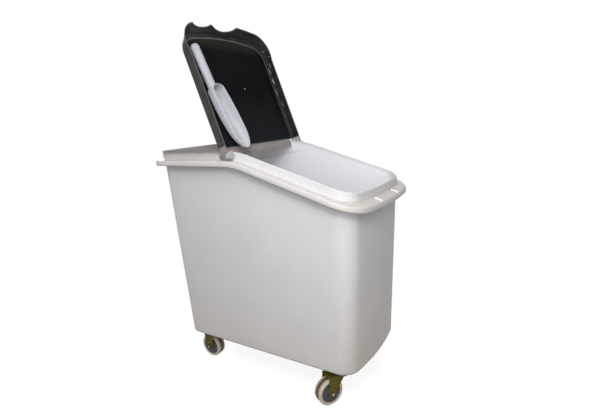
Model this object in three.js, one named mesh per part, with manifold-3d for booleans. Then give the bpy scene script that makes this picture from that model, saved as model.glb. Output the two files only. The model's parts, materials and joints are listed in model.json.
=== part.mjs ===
// Mobile ingredient bin with a fixed rear cover, a hinged front lid, a scoop and four casters
// Millimetres, +Z up; the low sloped front faces -Y and the origin is on the floor below the middle
import * as THREE from 'three';
import { mergeVertices } from 'three/addons/utils/BufferGeometryUtils.js';
import Module from 'manifold-3d';

const wasm = await Module();
wasm.setup();

// Rim of the tub, seen from above
const rimLength = 740;
const rimWidth = 408;
const rimFrontBow = 18.5;
const rimFrontRadius = 80;
const rimRearRadius = 52;

// Base of the tub, seen from above
const baseFrontInset = 50;
const baseRearInset = 52.5;
const baseSideInset = 38;
const baseFrontBow = 17;
const baseFrontRadius = 52;
const baseRearRadius = 31;

// Heights and walls of the tub
const baseHeight = 106;
const rimHeight = 695;
const beadHeight = 16;
const collarHeight = 25;
const slopeAngle = THREE.MathUtils.degToRad(17.2);
const flatDeckLength = 351;
const kneeBlend = 34;
const tubWall = 4;
const baseThickness = 9;
const baseFillet = 10;
const ledgeWidth = 27.3;
const collarWall = 6;
const rimOverhang = 29.3;
const lipThickness = 4;
const beadRound = 5;
const beadUnderRound = 2;
const ledgeFillet = 2;
const collarRound = 3;

// Two small rests on the front ledge that the closed lid lies on
const restSpacing = 120;
const restWidth = 5;
const restHeight = 4.4;
const restSink = 1.5;

// Rear cover
const coverWall = 3;
const coverFit = 0.5;
const coverFillet = 3;
const coverLipLength = 19;
const coverLidGap = 0.8;
const coverEarRadius = 12;
const coverEarReach = 46;
const knuckleRadius = 9;

// Front lid, measured from its hinge axis
const hingeInset = 332;
const hingeHeight = 726;
const lidRise = 28;
const lidReach = 391;
const lidSideInset = 11;
const lidHalfWidth = rimWidth / 2 - lidSideInset;
const lidBow = 22.8;
const lidCornerRadius = 64;
const lidWall = 3;
const lidFillet = 5;
const lidInnerFillet = 9;
const flangeDepth = 31;
const frontSplay = 25;
const lidEarRadius = 11;
const lidOpenAngle = THREE.MathUtils.degToRad(109.43);
const apronSweep = THREE.MathUtils.degToRad(105);
const apronSideGap = 3;
const slotLength = 28;
const slotClearance = 3.5;

// Dips in the free edge of the lid's front flange, with centres and half widths as shares of its half width
const fingerDip = 17;
const fingerDipShares = { centre: -0.03, half: 0.28 };
const sideDip = 11;
const sideDipShares = { centre: -0.5, half: 0.21 };
const dipRoundness = 0.6;
const frontFacingShare = 0.5;
const lidSideShares = [0.25, 0.5, 0.75, 1];

// Hinge pins
const pinRadius = 4;
const pinClearance = 0.3;
const pinHeadRadius = 7.5;
const pinHeadLength = 3.7;

// Scoop and the cradle that holds its handle
const handleRadius = 13;
const handleLength = 132;
const bowlLength = 204;
const bowlHalfWidth = 30;
const bowlDepth = 35;
const bowlWall = 2.5;
const bowlEndShare = 0.06;
const bowlNeckShare = 0.63;
const bowlWidenShare = 0.62;
const bowlNoseShare = 0.39;
const bowlKeelShare = 0.78;
const bowlPitch = 4;
const handleLift = 1;
const bowlRoundness = 0.54;
const scoopTipReach = 7;
const scoopTipInset = 79.5;
const scoopTurn = THREE.MathUtils.degToRad(5.6);
const handleSeat = 1.4;
const cradleWall = 2.5;
const cradleLength = 22;
const cradleHandlePlace = 100;

// Casters
const wheelDiameter = 80;
const treadWidth = 32;
const tyreThickness = 9;
const treadRound = 5;
const treadGroove = 1.5;
const hubWidth = 34;
const hubWebWidth = 12;
const hubBossRadius = 13;
const frontCasterSideInset = 79;
const frontCasterInset = 132;
const rearCasterSideInset = 92;
const rearCasterInset = 100;
const plateLength = 92;
const plateWidth = 60;
const plateThickness = 2.5;
const plateCorner = 8;
const plateHoleLength = 74;
const plateHoleWidth = 44;
const forkWall = 2.5;
const forkTopWidth = 44;
const axleEndRadius = 10;
const swivelTrail = 30;
const leftSwivel = THREE.MathUtils.degToRad(61);
const rightSwivel = THREE.MathUtils.degToRad(24);
const raceDrop = 5;
const raceRadius = 25;
const raceBore = 12;
const raceHeight = 5.4;
const crownRadius = 24;
const axleRadius = 4;
const bushingRadius = 6.2;
const runningGap = 0.3;
const boltHeadHeight = 5;
const boltHeadRadius = 7;
const kingpinRadius = 5;
const kingpinHeadRadius = 9;
const kingpinHeadHeight = 3;
const screwRadius = 3;
const screwDepth = 6;
const screwHeadRadius = 5.5;
const screwHeadHeight = 3.5;

// Facets
const frontSteps = 9;
const cornerSteps = 7;
const rearCornerSteps = 5;
const wheelSteps = 24;
const turnedSteps = 14;
const raceSteps = 18;
const screwSteps = 8;
const bowlStations = 14;
const bowlAcross = 10;
const handleSteps = 16;
const roundSteps = 4;
const coarseSteps = 3;
const endSteps = 5;
const apronSteps = 10;
const cradleSteps = 12;
const overrun = 20;

/** Closed mesh turned into a solid that can be joined and cut; faces that close to a line are left out. */
function solidOf(geometry) {
  const bare = geometry.clone();
  bare.deleteAttribute('normal');
  bare.deleteAttribute('uv');
  const merged = mergeVertices(bare);
  const vertProperties = Float32Array.from(merged.attributes.position.array);
  const kept = [];
  for (let i = 0; i < merged.index.count; i += 3) {
    const [a, b, c] = merged.index.array.slice(i, i + 3);
    if (a !== b && b !== c && c !== a) kept.push(a, b, c);
  }
  const triVerts = Uint32Array.from(kept);
  return new wasm.Manifold(new wasm.Mesh({ numProp: 3, vertProperties, triVerts }));
}

/** Cut or joined solid turned back into a geometry. */
function geometryOf(solid) {
  const { vertProperties, triVerts } = solid.getMesh();
  const geometry = new THREE.BufferGeometry();
  geometry.setAttribute('position', new THREE.BufferAttribute(vertProperties, 3));
  geometry.setIndex(new THREE.BufferAttribute(triVerts, 1));
  geometry.computeVertexNormals();
  return geometry;
}

/** Closed band of rings: the first ring is capped on its lower side and the last on its upper side. */
function loft(rings) {
  const count = rings[0].length;
  const points = rings.flat();
  const faces = [];
  for (let level = 0; level + 1 < rings.length; level += 1) {
    for (let i = 0; i < count; i += 1) {
      const a = level * count + i;
      const b = level * count + ((i + 1) % count);
      faces.push(a, b, b + count, a, b + count, a + count);
    }
  }
  const caps = [{ ring: rings[0], start: 0, flip: true }];
  caps.push({ ring: rings.at(-1), start: (rings.length - 1) * count, flip: false });
  for (const cap of caps) {
    const middle = cap.ring.reduce((sum, point) => sum.add(point), new THREE.Vector3());
    points.push(middle.divideScalar(count));
    const centre = points.length - 1;
    for (let i = 0; i < count; i += 1) {
      const a = cap.start + i;
      const b = cap.start + ((i + 1) % count);
      faces.push(centre, cap.flip ? b : a, cap.flip ? a : b);
    }
  }
  const geometry = new THREE.BufferGeometry().setFromPoints(points);
  geometry.setIndex(faces);
  geometry.computeVertexNormals();
  return geometry;
}

/** Plan outline with a bowed front and four round corners, counter-clockwise from the front middle. */
function planOutline(plan, sideShares) {
  const { half, front, rear, bow, frontRadius, rearRadius } = plan;
  const bowRadius = (half * half + bow * bow) / (2 * bow);
  const bowCentre = front + bowRadius;
  const cornerX = half - frontRadius;
  const cornerY = bowCentre - Math.sqrt((bowRadius - frontRadius) ** 2 - cornerX ** 2);
  const turn = Math.atan2(cornerX, bowCentre - cornerY);
  const right = [];
  const arc = (x, y, radius, start, end, steps, skip) => {
    for (let i = skip; i <= steps; i += 1) {
      const angle = start + ((end - start) * i) / steps;
      const normal = { x: Math.sin(angle), y: -Math.cos(angle) };
      right.push({ x: x + radius * normal.x, y: y + radius * normal.y, nx: normal.x, ny: normal.y });
    }
  };
  arc(0, bowCentre, bowRadius, 0, turn, frontSteps, 0);
  arc(cornerX, cornerY, frontRadius, turn, Math.PI / 2, cornerSteps, 1);
  const sideEnd = rear - rearRadius;
  for (const share of sideShares) {
    right.push({ x: half, y: cornerY + (sideEnd - cornerY) * share, nx: 1, ny: 0 });
  }
  arc(half - rearRadius, sideEnd, rearRadius, Math.PI / 2, Math.PI, rearCornerSteps, 1);
  right.push({ x: 0, y: rear, nx: 0, ny: 1 });
  const left = right.slice(1, -1).reverse().map((point) => ({ ...point, x: -point.x, nx: -point.nx }));
  return right.concat(left);
}

/** Ring of points beside an outline: both the distance outwards and the height may follow the point. */
function ringOf(outline, outwards, height) {
  return outline.map((point) => {
    const distance = typeof outwards === 'function' ? outwards(point) : outwards;
    const z = typeof height === 'function' ? height(point) : height;
    return new THREE.Vector3(point.x + point.nx * distance, point.y + point.ny * distance, z);
  });
}

/** Round plate or tube turned about Z from pairs of radius and height. */
function turned(pairs, steps) {
  const profile = pairs.map(([radius, height]) => new THREE.Vector2(radius, height));
  const geometry = new THREE.LatheGeometry(profile, steps);
  geometry.rotateX(Math.PI / 2);
  return geometry;
}

/** Cylinder or tube between two heights along Z. */
function tube(outer, inner, bottom, top, steps = turnedSteps) {
  if (inner === 0) return turned([[0, bottom], [outer, bottom], [outer, top], [0, top]], steps);
  return turned([[inner, bottom], [outer, bottom], [outer, top], [inner, top], [inner, bottom]], steps);
}

/** Lays a geometry that is built along Z down along X. */
function alongX(geometry) {
  return geometry.rotateY(Math.PI / 2);
}

/** Shape drawn with Y across and Z up, given a thickness from start along X. */
function sidePlate(shape, start, thickness, steps = 8) {
  const geometry = new THREE.ExtrudeGeometry(shape, {
    depth: thickness, bevelEnabled: false, curveSegments: steps,
  });
  const axes = [new THREE.Vector3(0, 1, 0), new THREE.Vector3(0, 0, 1), new THREE.Vector3(1, 0, 0)];
  geometry.applyMatrix4(new THREE.Matrix4().makeBasis(...axes));
  return geometry.translate(start, 0, 0);
}

/** Box between two corners. */
function boxBetween(low, high) {
  const size = high.map((value, i) => value - low[i]);
  const geometry = new THREE.BoxGeometry(...size);
  return geometry.translate(...low.map((value, i) => value + size[i] / 2));
}

/** Same solid on the other side of the YZ plane. */
function mirrored(solid) {
  return solid.mirror([1, 0, 0]);
}

const parts = new THREE.Group();

/** Adds one named piece to a group. */
function addPiece(group, name, geometry, finish) {
  const mesh = new THREE.Mesh(geometry, finish);
  mesh.name = name;
  group.add(mesh);
  return mesh;
}

const finishes = {
  tub: new THREE.MeshStandardMaterial({ color: 0xdcdbd8, roughness: 0.42 }),
  clear: new THREE.MeshStandardMaterial({ color: 0xc9c6c0, roughness: 0.12, opacity: 0.5 }),
  smoke: new THREE.MeshStandardMaterial({ color: 0x15181a, roughness: 0.1, opacity: 0.85 }),
  scoop: new THREE.MeshStandardMaterial({ color: 0xe3e4e8, roughness: 0.4 }),
  zinc: new THREE.MeshStandardMaterial({ color: 0x8a7420, roughness: 0.35, metalness: 0.9 }),
  steel: new THREE.MeshStandardMaterial({ color: 0xb9bcbe, roughness: 0.3, metalness: 1 }),
  tyre: new THREE.MeshStandardMaterial({ color: 0xcdbfa6, roughness: 0.55 }),
  hub: new THREE.MeshStandardMaterial({ color: 0x56585c, roughness: 0.5 }),
};
for (const finish of [finishes.clear, finishes.smoke]) finish.transparent = true;

// Deck of the rim: flat at the rear, sloped at the front, with a rounded knee between them
const kneePlace = rimLength / 2 - flatDeckLength;
const slope = Math.tan(slopeAngle);

/** Height of the deck at a place along Y, raised by lift. */
function deckAt(y, lift) {
  const ahead = kneePlace - y;
  if (ahead <= -kneeBlend) return rimHeight + lift;
  if (ahead >= kneeBlend) return rimHeight + lift - slope * ahead;
  return rimHeight + lift - (slope * (ahead + kneeBlend) ** 2) / (4 * kneeBlend);
}

const rimPlan = {
  half: rimWidth / 2, front: -rimLength / 2, rear: rimLength / 2,
  bow: rimFrontBow, frontRadius: rimFrontRadius, rearRadius: rimRearRadius,
};
const basePlan = {
  half: rimWidth / 2 - baseSideInset, front: -rimLength / 2 + baseFrontInset,
  rear: rimLength / 2 - baseRearInset,
  bow: baseFrontBow, frontRadius: baseFrontRadius, rearRadius: baseRearRadius,
};

/** Shares along the straight side of the rim, with points gathered round the knee. */
function sideSharesOf() {
  const start = -rimLength / 2 + rimFrontRadius + rimFrontBow;
  const end = rimLength / 2 - rimRearRadius;
  const kneeShares = [-1, -0.6, -0.2, 0.2, 0.6, 1];
  const places = kneeShares.map((share) => (kneePlace + share * kneeBlend - start) / (end - start));
  return [places[0] / 3, (places[0] * 2) / 3, ...places, (1 + places.at(-1)) / 2, 1];
}

const sideShares = sideSharesOf();
const rimOutline = planOutline(rimPlan, sideShares);
const baseOutline = planOutline(basePlan, sideShares);
const ledgeTop = beadHeight;
const collarTop = beadHeight + collarHeight;
const collarOuter = -ledgeWidth;
const collarInner = -ledgeWidth - collarWall;

/** Point of the wall's outer face under a point of the rim, where it meets the ledge. */
function wallTopAt(index) {
  const rimPoint = rimOutline[index];
  const drop = rimHeight - baseHeight;
  const low = baseOutline[index];
  const high = { x: rimPoint.x - rimPoint.nx * rimOverhang, y: rimPoint.y - rimPoint.ny * rimOverhang };
  const frontDraft = Math.max(0, -rimPoint.ny) ** 2;
  const rise = deckAt(high.y, 0) - baseHeight;
  const share = 1 + (rise / drop - 1) * (1 - frontDraft);
  return { x: low.x + (high.x - low.x) * share, y: low.y + (high.y - low.y) * share };
}

/** Ring at the top of the wall, drawn in by a distance and lifted to the deck. */
function wallTopRing(inwards, lift) {
  return rimOutline.map((point, index) => {
    const place = wallTopAt(index);
    const x = place.x - point.nx * inwards;
    const y = place.y - point.ny * inwards;
    return new THREE.Vector3(x, y, deckAt(y, lift));
  });
}

/** Ring beside the rim's outline at a height above the deck. */
function rimRing(outwards, lift) {
  const ring = ringOf(rimOutline, outwards, 0);
  for (const point of ring) point.z = deckAt(point.y, lift);
  return ring;
}

/** Ring beside the base's outline. */
function baseRing(outwards, lift) {
  return ringOf(baseOutline, outwards, baseHeight + lift);
}

/** Places of the four holes in a caster's plate. */
function plateHoles() {
  const halves = [[1, 1], [1, -1], [-1, 1], [-1, -1]];
  return halves.map(([x, y]) => [(x * plateHoleWidth) / 2, (y * plateHoleLength) / 2]);
}

/** Place of each caster under the base. */
function casterPlaces() {
  const places = [];
  const frontX = rimWidth / 2 - frontCasterSideInset;
  const rearX = rimWidth / 2 - rearCasterSideInset;
  for (const [side, sign] of [['left', -1], ['right', 1]]) {
    const frontY = -rimLength / 2 + frontCasterInset;
    const rearY = rimLength / 2 - rearCasterInset;
    places.push({ name: `front_${side}`, front: true, x: sign * frontX, y: frontY, sign });
    places.push({ name: `rear_${side}`, front: false, x: sign * rearX, y: rearY, sign });
  }
  return places;
}

/** Tub: tapered walls, rolled rim, flat ledge, raised collar, front rests and blind screw holes. */
function makeTub() {
  const fillet = baseFillet;
  const floorLift = baseThickness;
  const bend = fillet * (1 - Math.SQRT1_2);
  const rings = [
    baseRing(-fillet, 0), baseRing(-bend, bend), baseRing(0, fillet),
    wallTopRing(0, beadHeight - tubWall),
    rimRing(-lipThickness, beadHeight - tubWall),
    rimRing(-lipThickness, beadUnderRound),
    rimRing(-lipThickness / 2, 0),
    rimRing(0, beadUnderRound),
    rimRing(0, beadHeight - beadRound),
    rimRing(-beadRound * (1 - Math.SQRT1_2), beadHeight - beadRound * (1 - Math.SQRT1_2)),
    rimRing(-beadRound, beadHeight),
    rimRing(collarOuter + ledgeFillet, ledgeTop),
    rimRing(collarOuter, ledgeTop + ledgeFillet),
    rimRing(collarOuter, collarTop - collarRound),
    rimRing(collarOuter - collarRound * (1 - Math.SQRT1_2), collarTop - collarRound * (1 - Math.SQRT1_2)),
    rimRing(collarOuter - collarRound, collarTop),
    rimRing(collarInner + collarRound * (1 - Math.SQRT1_2), collarTop - collarRound * (1 - Math.SQRT1_2)),
    rimRing(collarInner, collarTop - collarRound),
    rimRing(collarInner, ledgeTop),
    baseRing(-tubWall, floorLift + fillet),
    baseRing(-tubWall - bend, floorLift + bend),
    baseRing(-tubWall - fillet, floorLift),
  ];
  let tub = solidOf(loft(rings));
  const frontDeck = -rimLength / 2 + ledgeWidth / 2;
  const restLength = ledgeWidth;
  for (const side of [-1, 1]) {
    const x = (side * restSpacing) / 2;
    const outline = new THREE.Shape();
    outline.absarc(-restLength / 4, 0, restWidth / 2, Math.PI / 2, (Math.PI * 3) / 2, false);
    outline.absarc(restLength / 4, 0, restWidth / 2, -Math.PI / 2, Math.PI / 2, false);
    const bar = new THREE.ExtrudeGeometry(outline, {
      depth: restHeight + restSink, bevelEnabled: false, curveSegments: endSteps,
    });
    bar.rotateZ(Math.PI / 2);
    bar.rotateX(slopeAngle);
    bar.translate(x, frontDeck, deckAt(frontDeck, ledgeTop) - restSink);
    tub = tub.add(solidOf(bar));
  }
  for (const place of casterPlaces()) {
    for (const [x, y] of plateHoles()) {
      const hole = tube(screwRadius + runningGap, 0, -overrun, screwDepth + runningGap, screwSteps);
      hole.translate(place.x + x, place.y + y, baseHeight);
      tub = tub.subtract(solidOf(hole));
    }
  }
  return geometryOf(tub);
}

/** Downturned tray: inner face, free edge, outer face and top, round one outline. */
function trayShell(outline, { top, wall, fillet, innerFillet, depthAt, splayAt }) {
  const bend = fillet * (1 - Math.SQRT1_2);
  const innerBend = innerFillet * (1 - Math.SQRT1_2);
  const innerTop = top - wall;
  const reach = (point) => splayAt(point) * (depthAt(point) / depthAt({ ...point, ny: 1 }));
  return loft([
    ringOf(outline, -wall - innerFillet, innerTop),
    ringOf(outline, -wall - innerBend, innerTop - innerBend),
    ringOf(outline, (point) => (reach(point) * innerFillet) / top - wall, innerTop - innerFillet),
    ringOf(outline, (point) => reach(point) - wall, (point) => top - depthAt(point)),
    ringOf(outline, reach, (point) => top - depthAt(point)),
    ringOf(outline, 0, top - fillet),
    ringOf(outline, -bend, top - bend),
    ringOf(outline, -fillet, top),
  ]);
}

// Hinge axis, and the directions of the open lid: along it and away from the bin
const hingePlace = new THREE.Vector3(0, rimLength / 2 - hingeInset, hingeHeight);
const lidTurn = -lidOpenAngle;
const openAlong = new THREE.Vector3(0, -Math.cos(lidTurn), -Math.sin(lidTurn));
const openOut = new THREE.Vector3(0, -Math.sin(lidTurn), Math.cos(lidTurn));

/** Point in the YZ plane at a distance along the open lid and away from its hinge axis. */
function besideOpenLid(along, out) {
  const y = hingePlace.y + openAlong.y * along + openOut.y * out;
  const z = hingePlace.z + openAlong.z * along + openOut.z * out;
  return new THREE.Vector2(y, z);
}

/** Distance along the open lid at which a line parallel to it reaches a height. */
function alongAtHeight(height, out) {
  return (height - hingePlace.z - openOut.z * out) / openAlong.z;
}

const coverInnerSide = rimWidth / 2 - ledgeWidth + coverFit;
const coverOuterSide = coverInnerSide + coverWall;
const coverTop = rimHeight + collarTop + coverFit + coverWall;
const coverBottom = rimHeight + ledgeTop + ledgeFillet + coverFit;
const lidInnerSide = lidHalfWidth - lidWall;

/** Rear cover: tray over the rear collar, slanted lip behind the lid, and two hinge ears. */
function makeRearCover() {
  const coverOutline = rimOutline.map((point) => ({
    ...point,
    x: point.x + point.nx * (collarOuter + coverFit + coverWall),
    y: point.y + point.ny * (collarOuter + coverFit + coverWall),
  }));
  const tray = trayShell(coverOutline, {
    top: coverTop, wall: coverWall, fillet: coverFillet, innerFillet: coverFillet,
    depthAt: () => coverTop - coverBottom, splayAt: () => 0,
  });
  const lipOut = lidRise + coverLidGap;
  const cutter = new THREE.Shape([
    besideOpenLid(-overrun * 2, lipOut), besideOpenLid(overrun * 3, lipOut),
    new THREE.Vector2(-rimLength, besideOpenLid(overrun * 3, lipOut).y),
    new THREE.Vector2(-rimLength, besideOpenLid(-overrun * 2, lipOut).y),
  ]);
  let cover = solidOf(tray).subtract(solidOf(sidePlate(cutter, -rimWidth, rimWidth * 2)));
  const lipLow = coverTop - coverLipLength;
  const lipBack = lipOut + coverWall;
  const lipShape = new THREE.Shape([
    besideOpenLid(alongAtHeight(lipLow, lipOut), lipOut),
    besideOpenLid(alongAtHeight(coverTop, lipOut), lipOut),
    besideOpenLid(alongAtHeight(coverTop, lipBack), lipBack),
    besideOpenLid(alongAtHeight(lipLow, lipBack), lipBack),
  ]);
  const lipHalf = rimWidth / 2 + collarInner - coverFit;
  cover = cover.add(solidOf(sidePlate(lipShape, -lipHalf, lipHalf * 2)));
  const ear = new THREE.Shape();
  const earRear = hingePlace.y + coverEarReach;
  ear.moveTo(earRear, coverBottom);
  ear.lineTo(earRear, coverTop - coverFillet);
  ear.lineTo(hingePlace.y, hingePlace.z + coverEarRadius);
  ear.absarc(hingePlace.y, hingePlace.z, coverEarRadius, Math.PI / 2, (Math.PI * 3) / 2, false);
  ear.closePath();
  const knuckle = alongX(tube(knuckleRadius, 0, coverInnerSide, lidInnerSide - runningGap));
  knuckle.translate(0, hingePlace.y, hingePlace.z);
  const bore = alongX(tube(pinRadius + pinClearance, 0, coverInnerSide - overrun, lidInnerSide + overrun));
  bore.translate(0, hingePlace.y, hingePlace.z);
  const side = solidOf(sidePlate(ear, coverInnerSide, coverWall)).add(solidOf(knuckle));
  cover = cover.add(side).add(mirrored(side));
  cover = cover.subtract(solidOf(bore)).subtract(mirrored(solidOf(bore)));
  return geometryOf(cover);
}

/** Depth taken off the front flange's free edge at a place across the lid. */
function dipAt(x) {
  const depthOf = (depth, { centre, half }) => {
    const place = Math.min(1, Math.abs((x / lidHalfWidth - centre) / half));
    return depth * Math.cos((place * Math.PI) / 2) ** dipRoundness;
  };
  return Math.max(depthOf(fingerDip, fingerDipShares), depthOf(sideDip, sideDipShares));
}

/** Front lid in its own frame: hinge axis along X through the origin, top up, front towards -Y. */
function makeFrontLid() {
  const plan = {
    half: lidHalfWidth, front: -lidReach, rear: overrun * 2,
    bow: lidBow, frontRadius: lidCornerRadius, rearRadius: lidFillet * 2,
  };
  const outline = planOutline(plan, lidSideShares);
  const tray = trayShell(outline, {
    top: lidRise, wall: lidWall, fillet: lidFillet, innerFillet: lidInnerFillet,
    depthAt: (point) => flangeDepth - (point.ny < -frontFacingShare ? dipAt(point.x) : 0),
    splayAt: (point) => frontSplay * Math.max(0, -point.ny),
  });
  let lid = solidOf(tray);
  const rearCut = new THREE.Shape([
    new THREE.Vector2(0, lidRise + overrun), new THREE.Vector2(0, lidRise),
    new THREE.Vector2(lidEarRadius, 0), new THREE.Vector2(lidEarRadius, -overrun),
    new THREE.Vector2(overrun * 4, -overrun), new THREE.Vector2(overrun * 4, lidRise + overrun),
  ].reverse());
  lid = lid.subtract(solidOf(sidePlate(rearCut, -rimWidth, rimWidth * 2)));
  const slotInner = rimWidth / 2 + collarInner - apronSideGap;
  const slotOuter = coverOuterSide + slotClearance;
  const slot = boxBetween([slotInner, -slotLength, 0], [slotOuter, overrun, lidRise + overrun]);
  lid = lid.subtract(solidOf(slot)).subtract(mirrored(solidOf(slot)));
  const apron = new THREE.Shape();
  apron.moveTo(-lidFillet, lidRise - lidWall);
  apron.lineTo(0, lidRise - lidWall);
  apron.absarc(0, 0, lidRise - lidWall, Math.PI / 2, Math.PI / 2 - apronSweep, true);
  apron.absarc(0, 0, lidRise, Math.PI / 2 - apronSweep, Math.PI / 2, false);
  apron.lineTo(-lidFillet, lidRise);
  apron.closePath();
  lid = lid.add(solidOf(sidePlate(apron, -slotInner, slotInner * 2, apronSteps)));
  const ear = alongX(tube(lidEarRadius, 0, lidInnerSide, lidHalfWidth));
  const hole = alongX(tube(pinRadius + pinClearance, 0, lidInnerSide - overrun / 2, lidHalfWidth + overrun));
  lid = lid.add(solidOf(ear)).add(mirrored(solidOf(ear)));
  lid = lid.subtract(solidOf(hole)).subtract(mirrored(solidOf(hole)));
  return geometryOf(lid);
}

/** Hinge pin along +X from the collar out to its round head. */
function makeHingePin() {
  const start = coverInnerSide + runningGap;
  const headStart = lidHalfWidth + runningGap;
  const end = headStart + pinHeadLength;
  const chamfer = pinRadius / 4;
  return alongX(turned([
    [0, start], [pinRadius - chamfer, start], [pinRadius, start + chamfer], [pinRadius, headStart],
    [pinHeadRadius, headStart], [pinHeadRadius, end - pinHeadLength / 2],
    [pinHeadRadius * 0.7, end], [0, end],
  ], turnedSteps));
}

const handleDepth = bowlDepth - handleRadius - handleLift;

/** Rises from 0 to 1 like a quarter of a circle, and stays at 1 beyond it. */
function quarterRound(share) {
  return Math.sqrt(1 - (1 - Math.min(1, share)) ** 2);
}

/** Grid of points on the scoop's bowl, drawn in by a wall, from its back to its nose. */
function bowlGrid(inset) {
  const stations = bowlStations;
  const across = bowlAcross;
  const grid = [];
  for (let i = 0; i <= stations; i += 1) {
    const share = (1 - Math.cos((Math.PI * i) / stations)) / 2;
    const along = inset + (bowlLength - 2 * inset) * share;
    const end = quarterRound(share / bowlEndShare);
    const widen = bowlNeckShare + (1 - bowlNeckShare) * quarterRound(share / bowlWidenShare);
    const half = (bowlHalfWidth - inset) * end * widen * quarterRound((1 - share) / bowlNoseShare);
    const depth = (bowlDepth - inset) * end * quarterRound((1 - share) / bowlKeelShare);
    const row = [];
    for (let j = 0; j <= across; j += 1) {
      const angle = Math.PI * (j / across);
      const side = -Math.sign(Math.cos(angle)) * Math.abs(Math.cos(angle)) ** bowlRoundness;
      const x = j * 2 === across ? 0 : half * side;
      row.push(new THREE.Vector3(x, along, -depth * Math.sin(angle) ** bowlRoundness));
    }
    for (const end of [0, across]) row[end].z = 0;
    grid.push(row);
  }
  return grid;
}

/** Scoop along +Y from the end of its handle, with its open side up and its bowl raised by its pitch. */
function makeScoop() {
  const outer = bowlGrid(0);
  const inner = bowlGrid(bowlWall);
  const lifted = inner.map((row) => row.map((point) => new THREE.Vector3(point.x, point.y, overrun)));
  const pitched = (solid) => {
    const turnedUp = solid.translate([0, 0, bowlDepth]).rotate([bowlPitch, 0, 0]);
    return turnedUp.translate([0, handleLength, -bowlDepth]);
  };
  const bowl = pitched(solidOf(sheetSolid(outer, inner)));
  const hollow = pitched(solidOf(sheetSolid(inner, lifted)));
  const profile = [[0, 0]];
  for (let i = 1; i <= roundSteps; i += 1) {
    const angle = (Math.PI * i) / (2 * roundSteps);
    profile.push([handleRadius * Math.sin(angle), handleRadius * (1 - Math.cos(angle))]);
  }
  profile.push([handleRadius, handleLength + handleRadius], [0, handleLength + handleRadius]);
  const handle = turned(profile, handleSteps);
  handle.rotateX(-Math.PI / 2);
  handle.translate(0, 0, -handleDepth);
  return geometryOf(solidOf(handle).subtract(hollow).add(bowl));
}

/** Closed wall between an outer and an inner grid of points, joined along their open edges. */
function sheetSolid(outer, inner) {
  const rows = outer.length;
  const columns = outer[0].length;
  const points = outer.flat().concat(inner.flat());
  const at = (layer, i, j) => layer * rows * columns + i * columns + j;
  const faces = [];
  const quad = (a, b, c, d) => faces.push(a, c, b, a, d, c);
  for (let i = 0; i + 1 < rows; i += 1) {
    for (let j = 0; j + 1 < columns; j += 1) {
      quad(at(0, i, j), at(0, i, j + 1), at(0, i + 1, j + 1), at(0, i + 1, j));
      quad(at(1, i, j), at(1, i + 1, j), at(1, i + 1, j + 1), at(1, i, j + 1));
    }
    quad(at(0, i, 0), at(0, i + 1, 0), at(1, i + 1, 0), at(1, i, 0));
    const last = columns - 1;
    quad(at(0, i, last), at(1, i, last), at(1, i + 1, last), at(0, i + 1, last));
  }
  for (let j = 0; j + 1 < columns; j += 1) {
    quad(at(0, 0, j), at(1, 0, j), at(1, 0, j + 1), at(0, 0, j + 1));
    const last = rows - 1;
    quad(at(0, last, j), at(0, last, j + 1), at(1, last, j + 1), at(1, last, j));
  }
  const geometry = new THREE.BufferGeometry().setFromPoints(points);
  geometry.setIndex(faces);
  return geometry;
}

/** Tyre round the Z axis with rounded shoulders and a groove round the middle of its tread. */
function makeTyre() {
  const outer = wheelDiameter / 2;
  const inner = outer - tyreThickness;
  const half = treadWidth / 2;
  const bend = treadRound * (1 - Math.SQRT1_2);
  const side = [[inner, half], [outer - treadRound, half], [outer - bend, half - bend],
    [outer, half - treadRound], [outer, treadGroove], [outer - treadGroove, 0]];
  const below = side.slice(0, -1).map(([radius, height]) => [radius, -height]);
  return alongX(turned([...below, ...side.reverse(), [inner, -half]], wheelSteps));
}

/** Wheel hub with a rim, a thinner web and a boss that turns on the bushing. */
function makeHub() {
  const rimOuter = wheelDiameter / 2 - tyreThickness - runningGap;
  const rimInner = rimOuter - tyreThickness / 2;
  const rimHalf = treadWidth / 2 - hubWebWidth / 8;
  const bore = bushingRadius + runningGap;
  const half = hubWidth / 2;
  const web = hubWebWidth / 2;
  const side = [[bore, half], [hubBossRadius, half], [hubBossRadius + web / 4, web], [rimInner, web],
    [rimInner + web / 4, rimHalf], [rimOuter, rimHalf]];
  const below = side.map(([radius, height]) => [radius, -height]);
  return alongX(turned([...below, ...side.reverse(), [bore, -half]], wheelSteps));
}

const forkInner = hubWidth / 2 + forkWall * 0.6;
const forkOuter = forkInner + forkWall;
const plateUnderside = baseHeight - plateThickness;
const raceTop = plateUnderside - raceDrop - runningGap;
const crownTop = raceTop - raceHeight - runningGap;
const axleHeight = wheelDiameter / 2;

/** Leg of a fork: wide at the top and rounded round the axle, with a hole for the bolt. */
function makeLeg(topHeight, topCentre, axlePlace, width) {
  const shape = new THREE.Shape();
  shape.moveTo(topCentre + width / 2, topHeight);
  shape.lineTo(topCentre - width / 2, topHeight);
  const run = axlePlace - topCentre;
  const drop = topHeight - axleHeight;
  const left = Math.atan2(drop, -width / 2 - run) + Math.PI / 2 + Math.asin(axleEndRadius / (drop + width));
  const right = Math.atan2(drop, width / 2 - run) - Math.PI / 2 - Math.asin(axleEndRadius / (drop + width));
  shape.absarc(axlePlace, axleHeight, axleEndRadius, left, right + Math.PI * 2, false);
  shape.closePath();
  const hole = new THREE.Path();
  hole.absarc(axlePlace, axleHeight, axleRadius + runningGap, 0, Math.PI * 2, true);
  shape.holes.push(hole);
  return solidOf(sidePlate(shape, forkInner, forkWall, 6));
}

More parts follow.
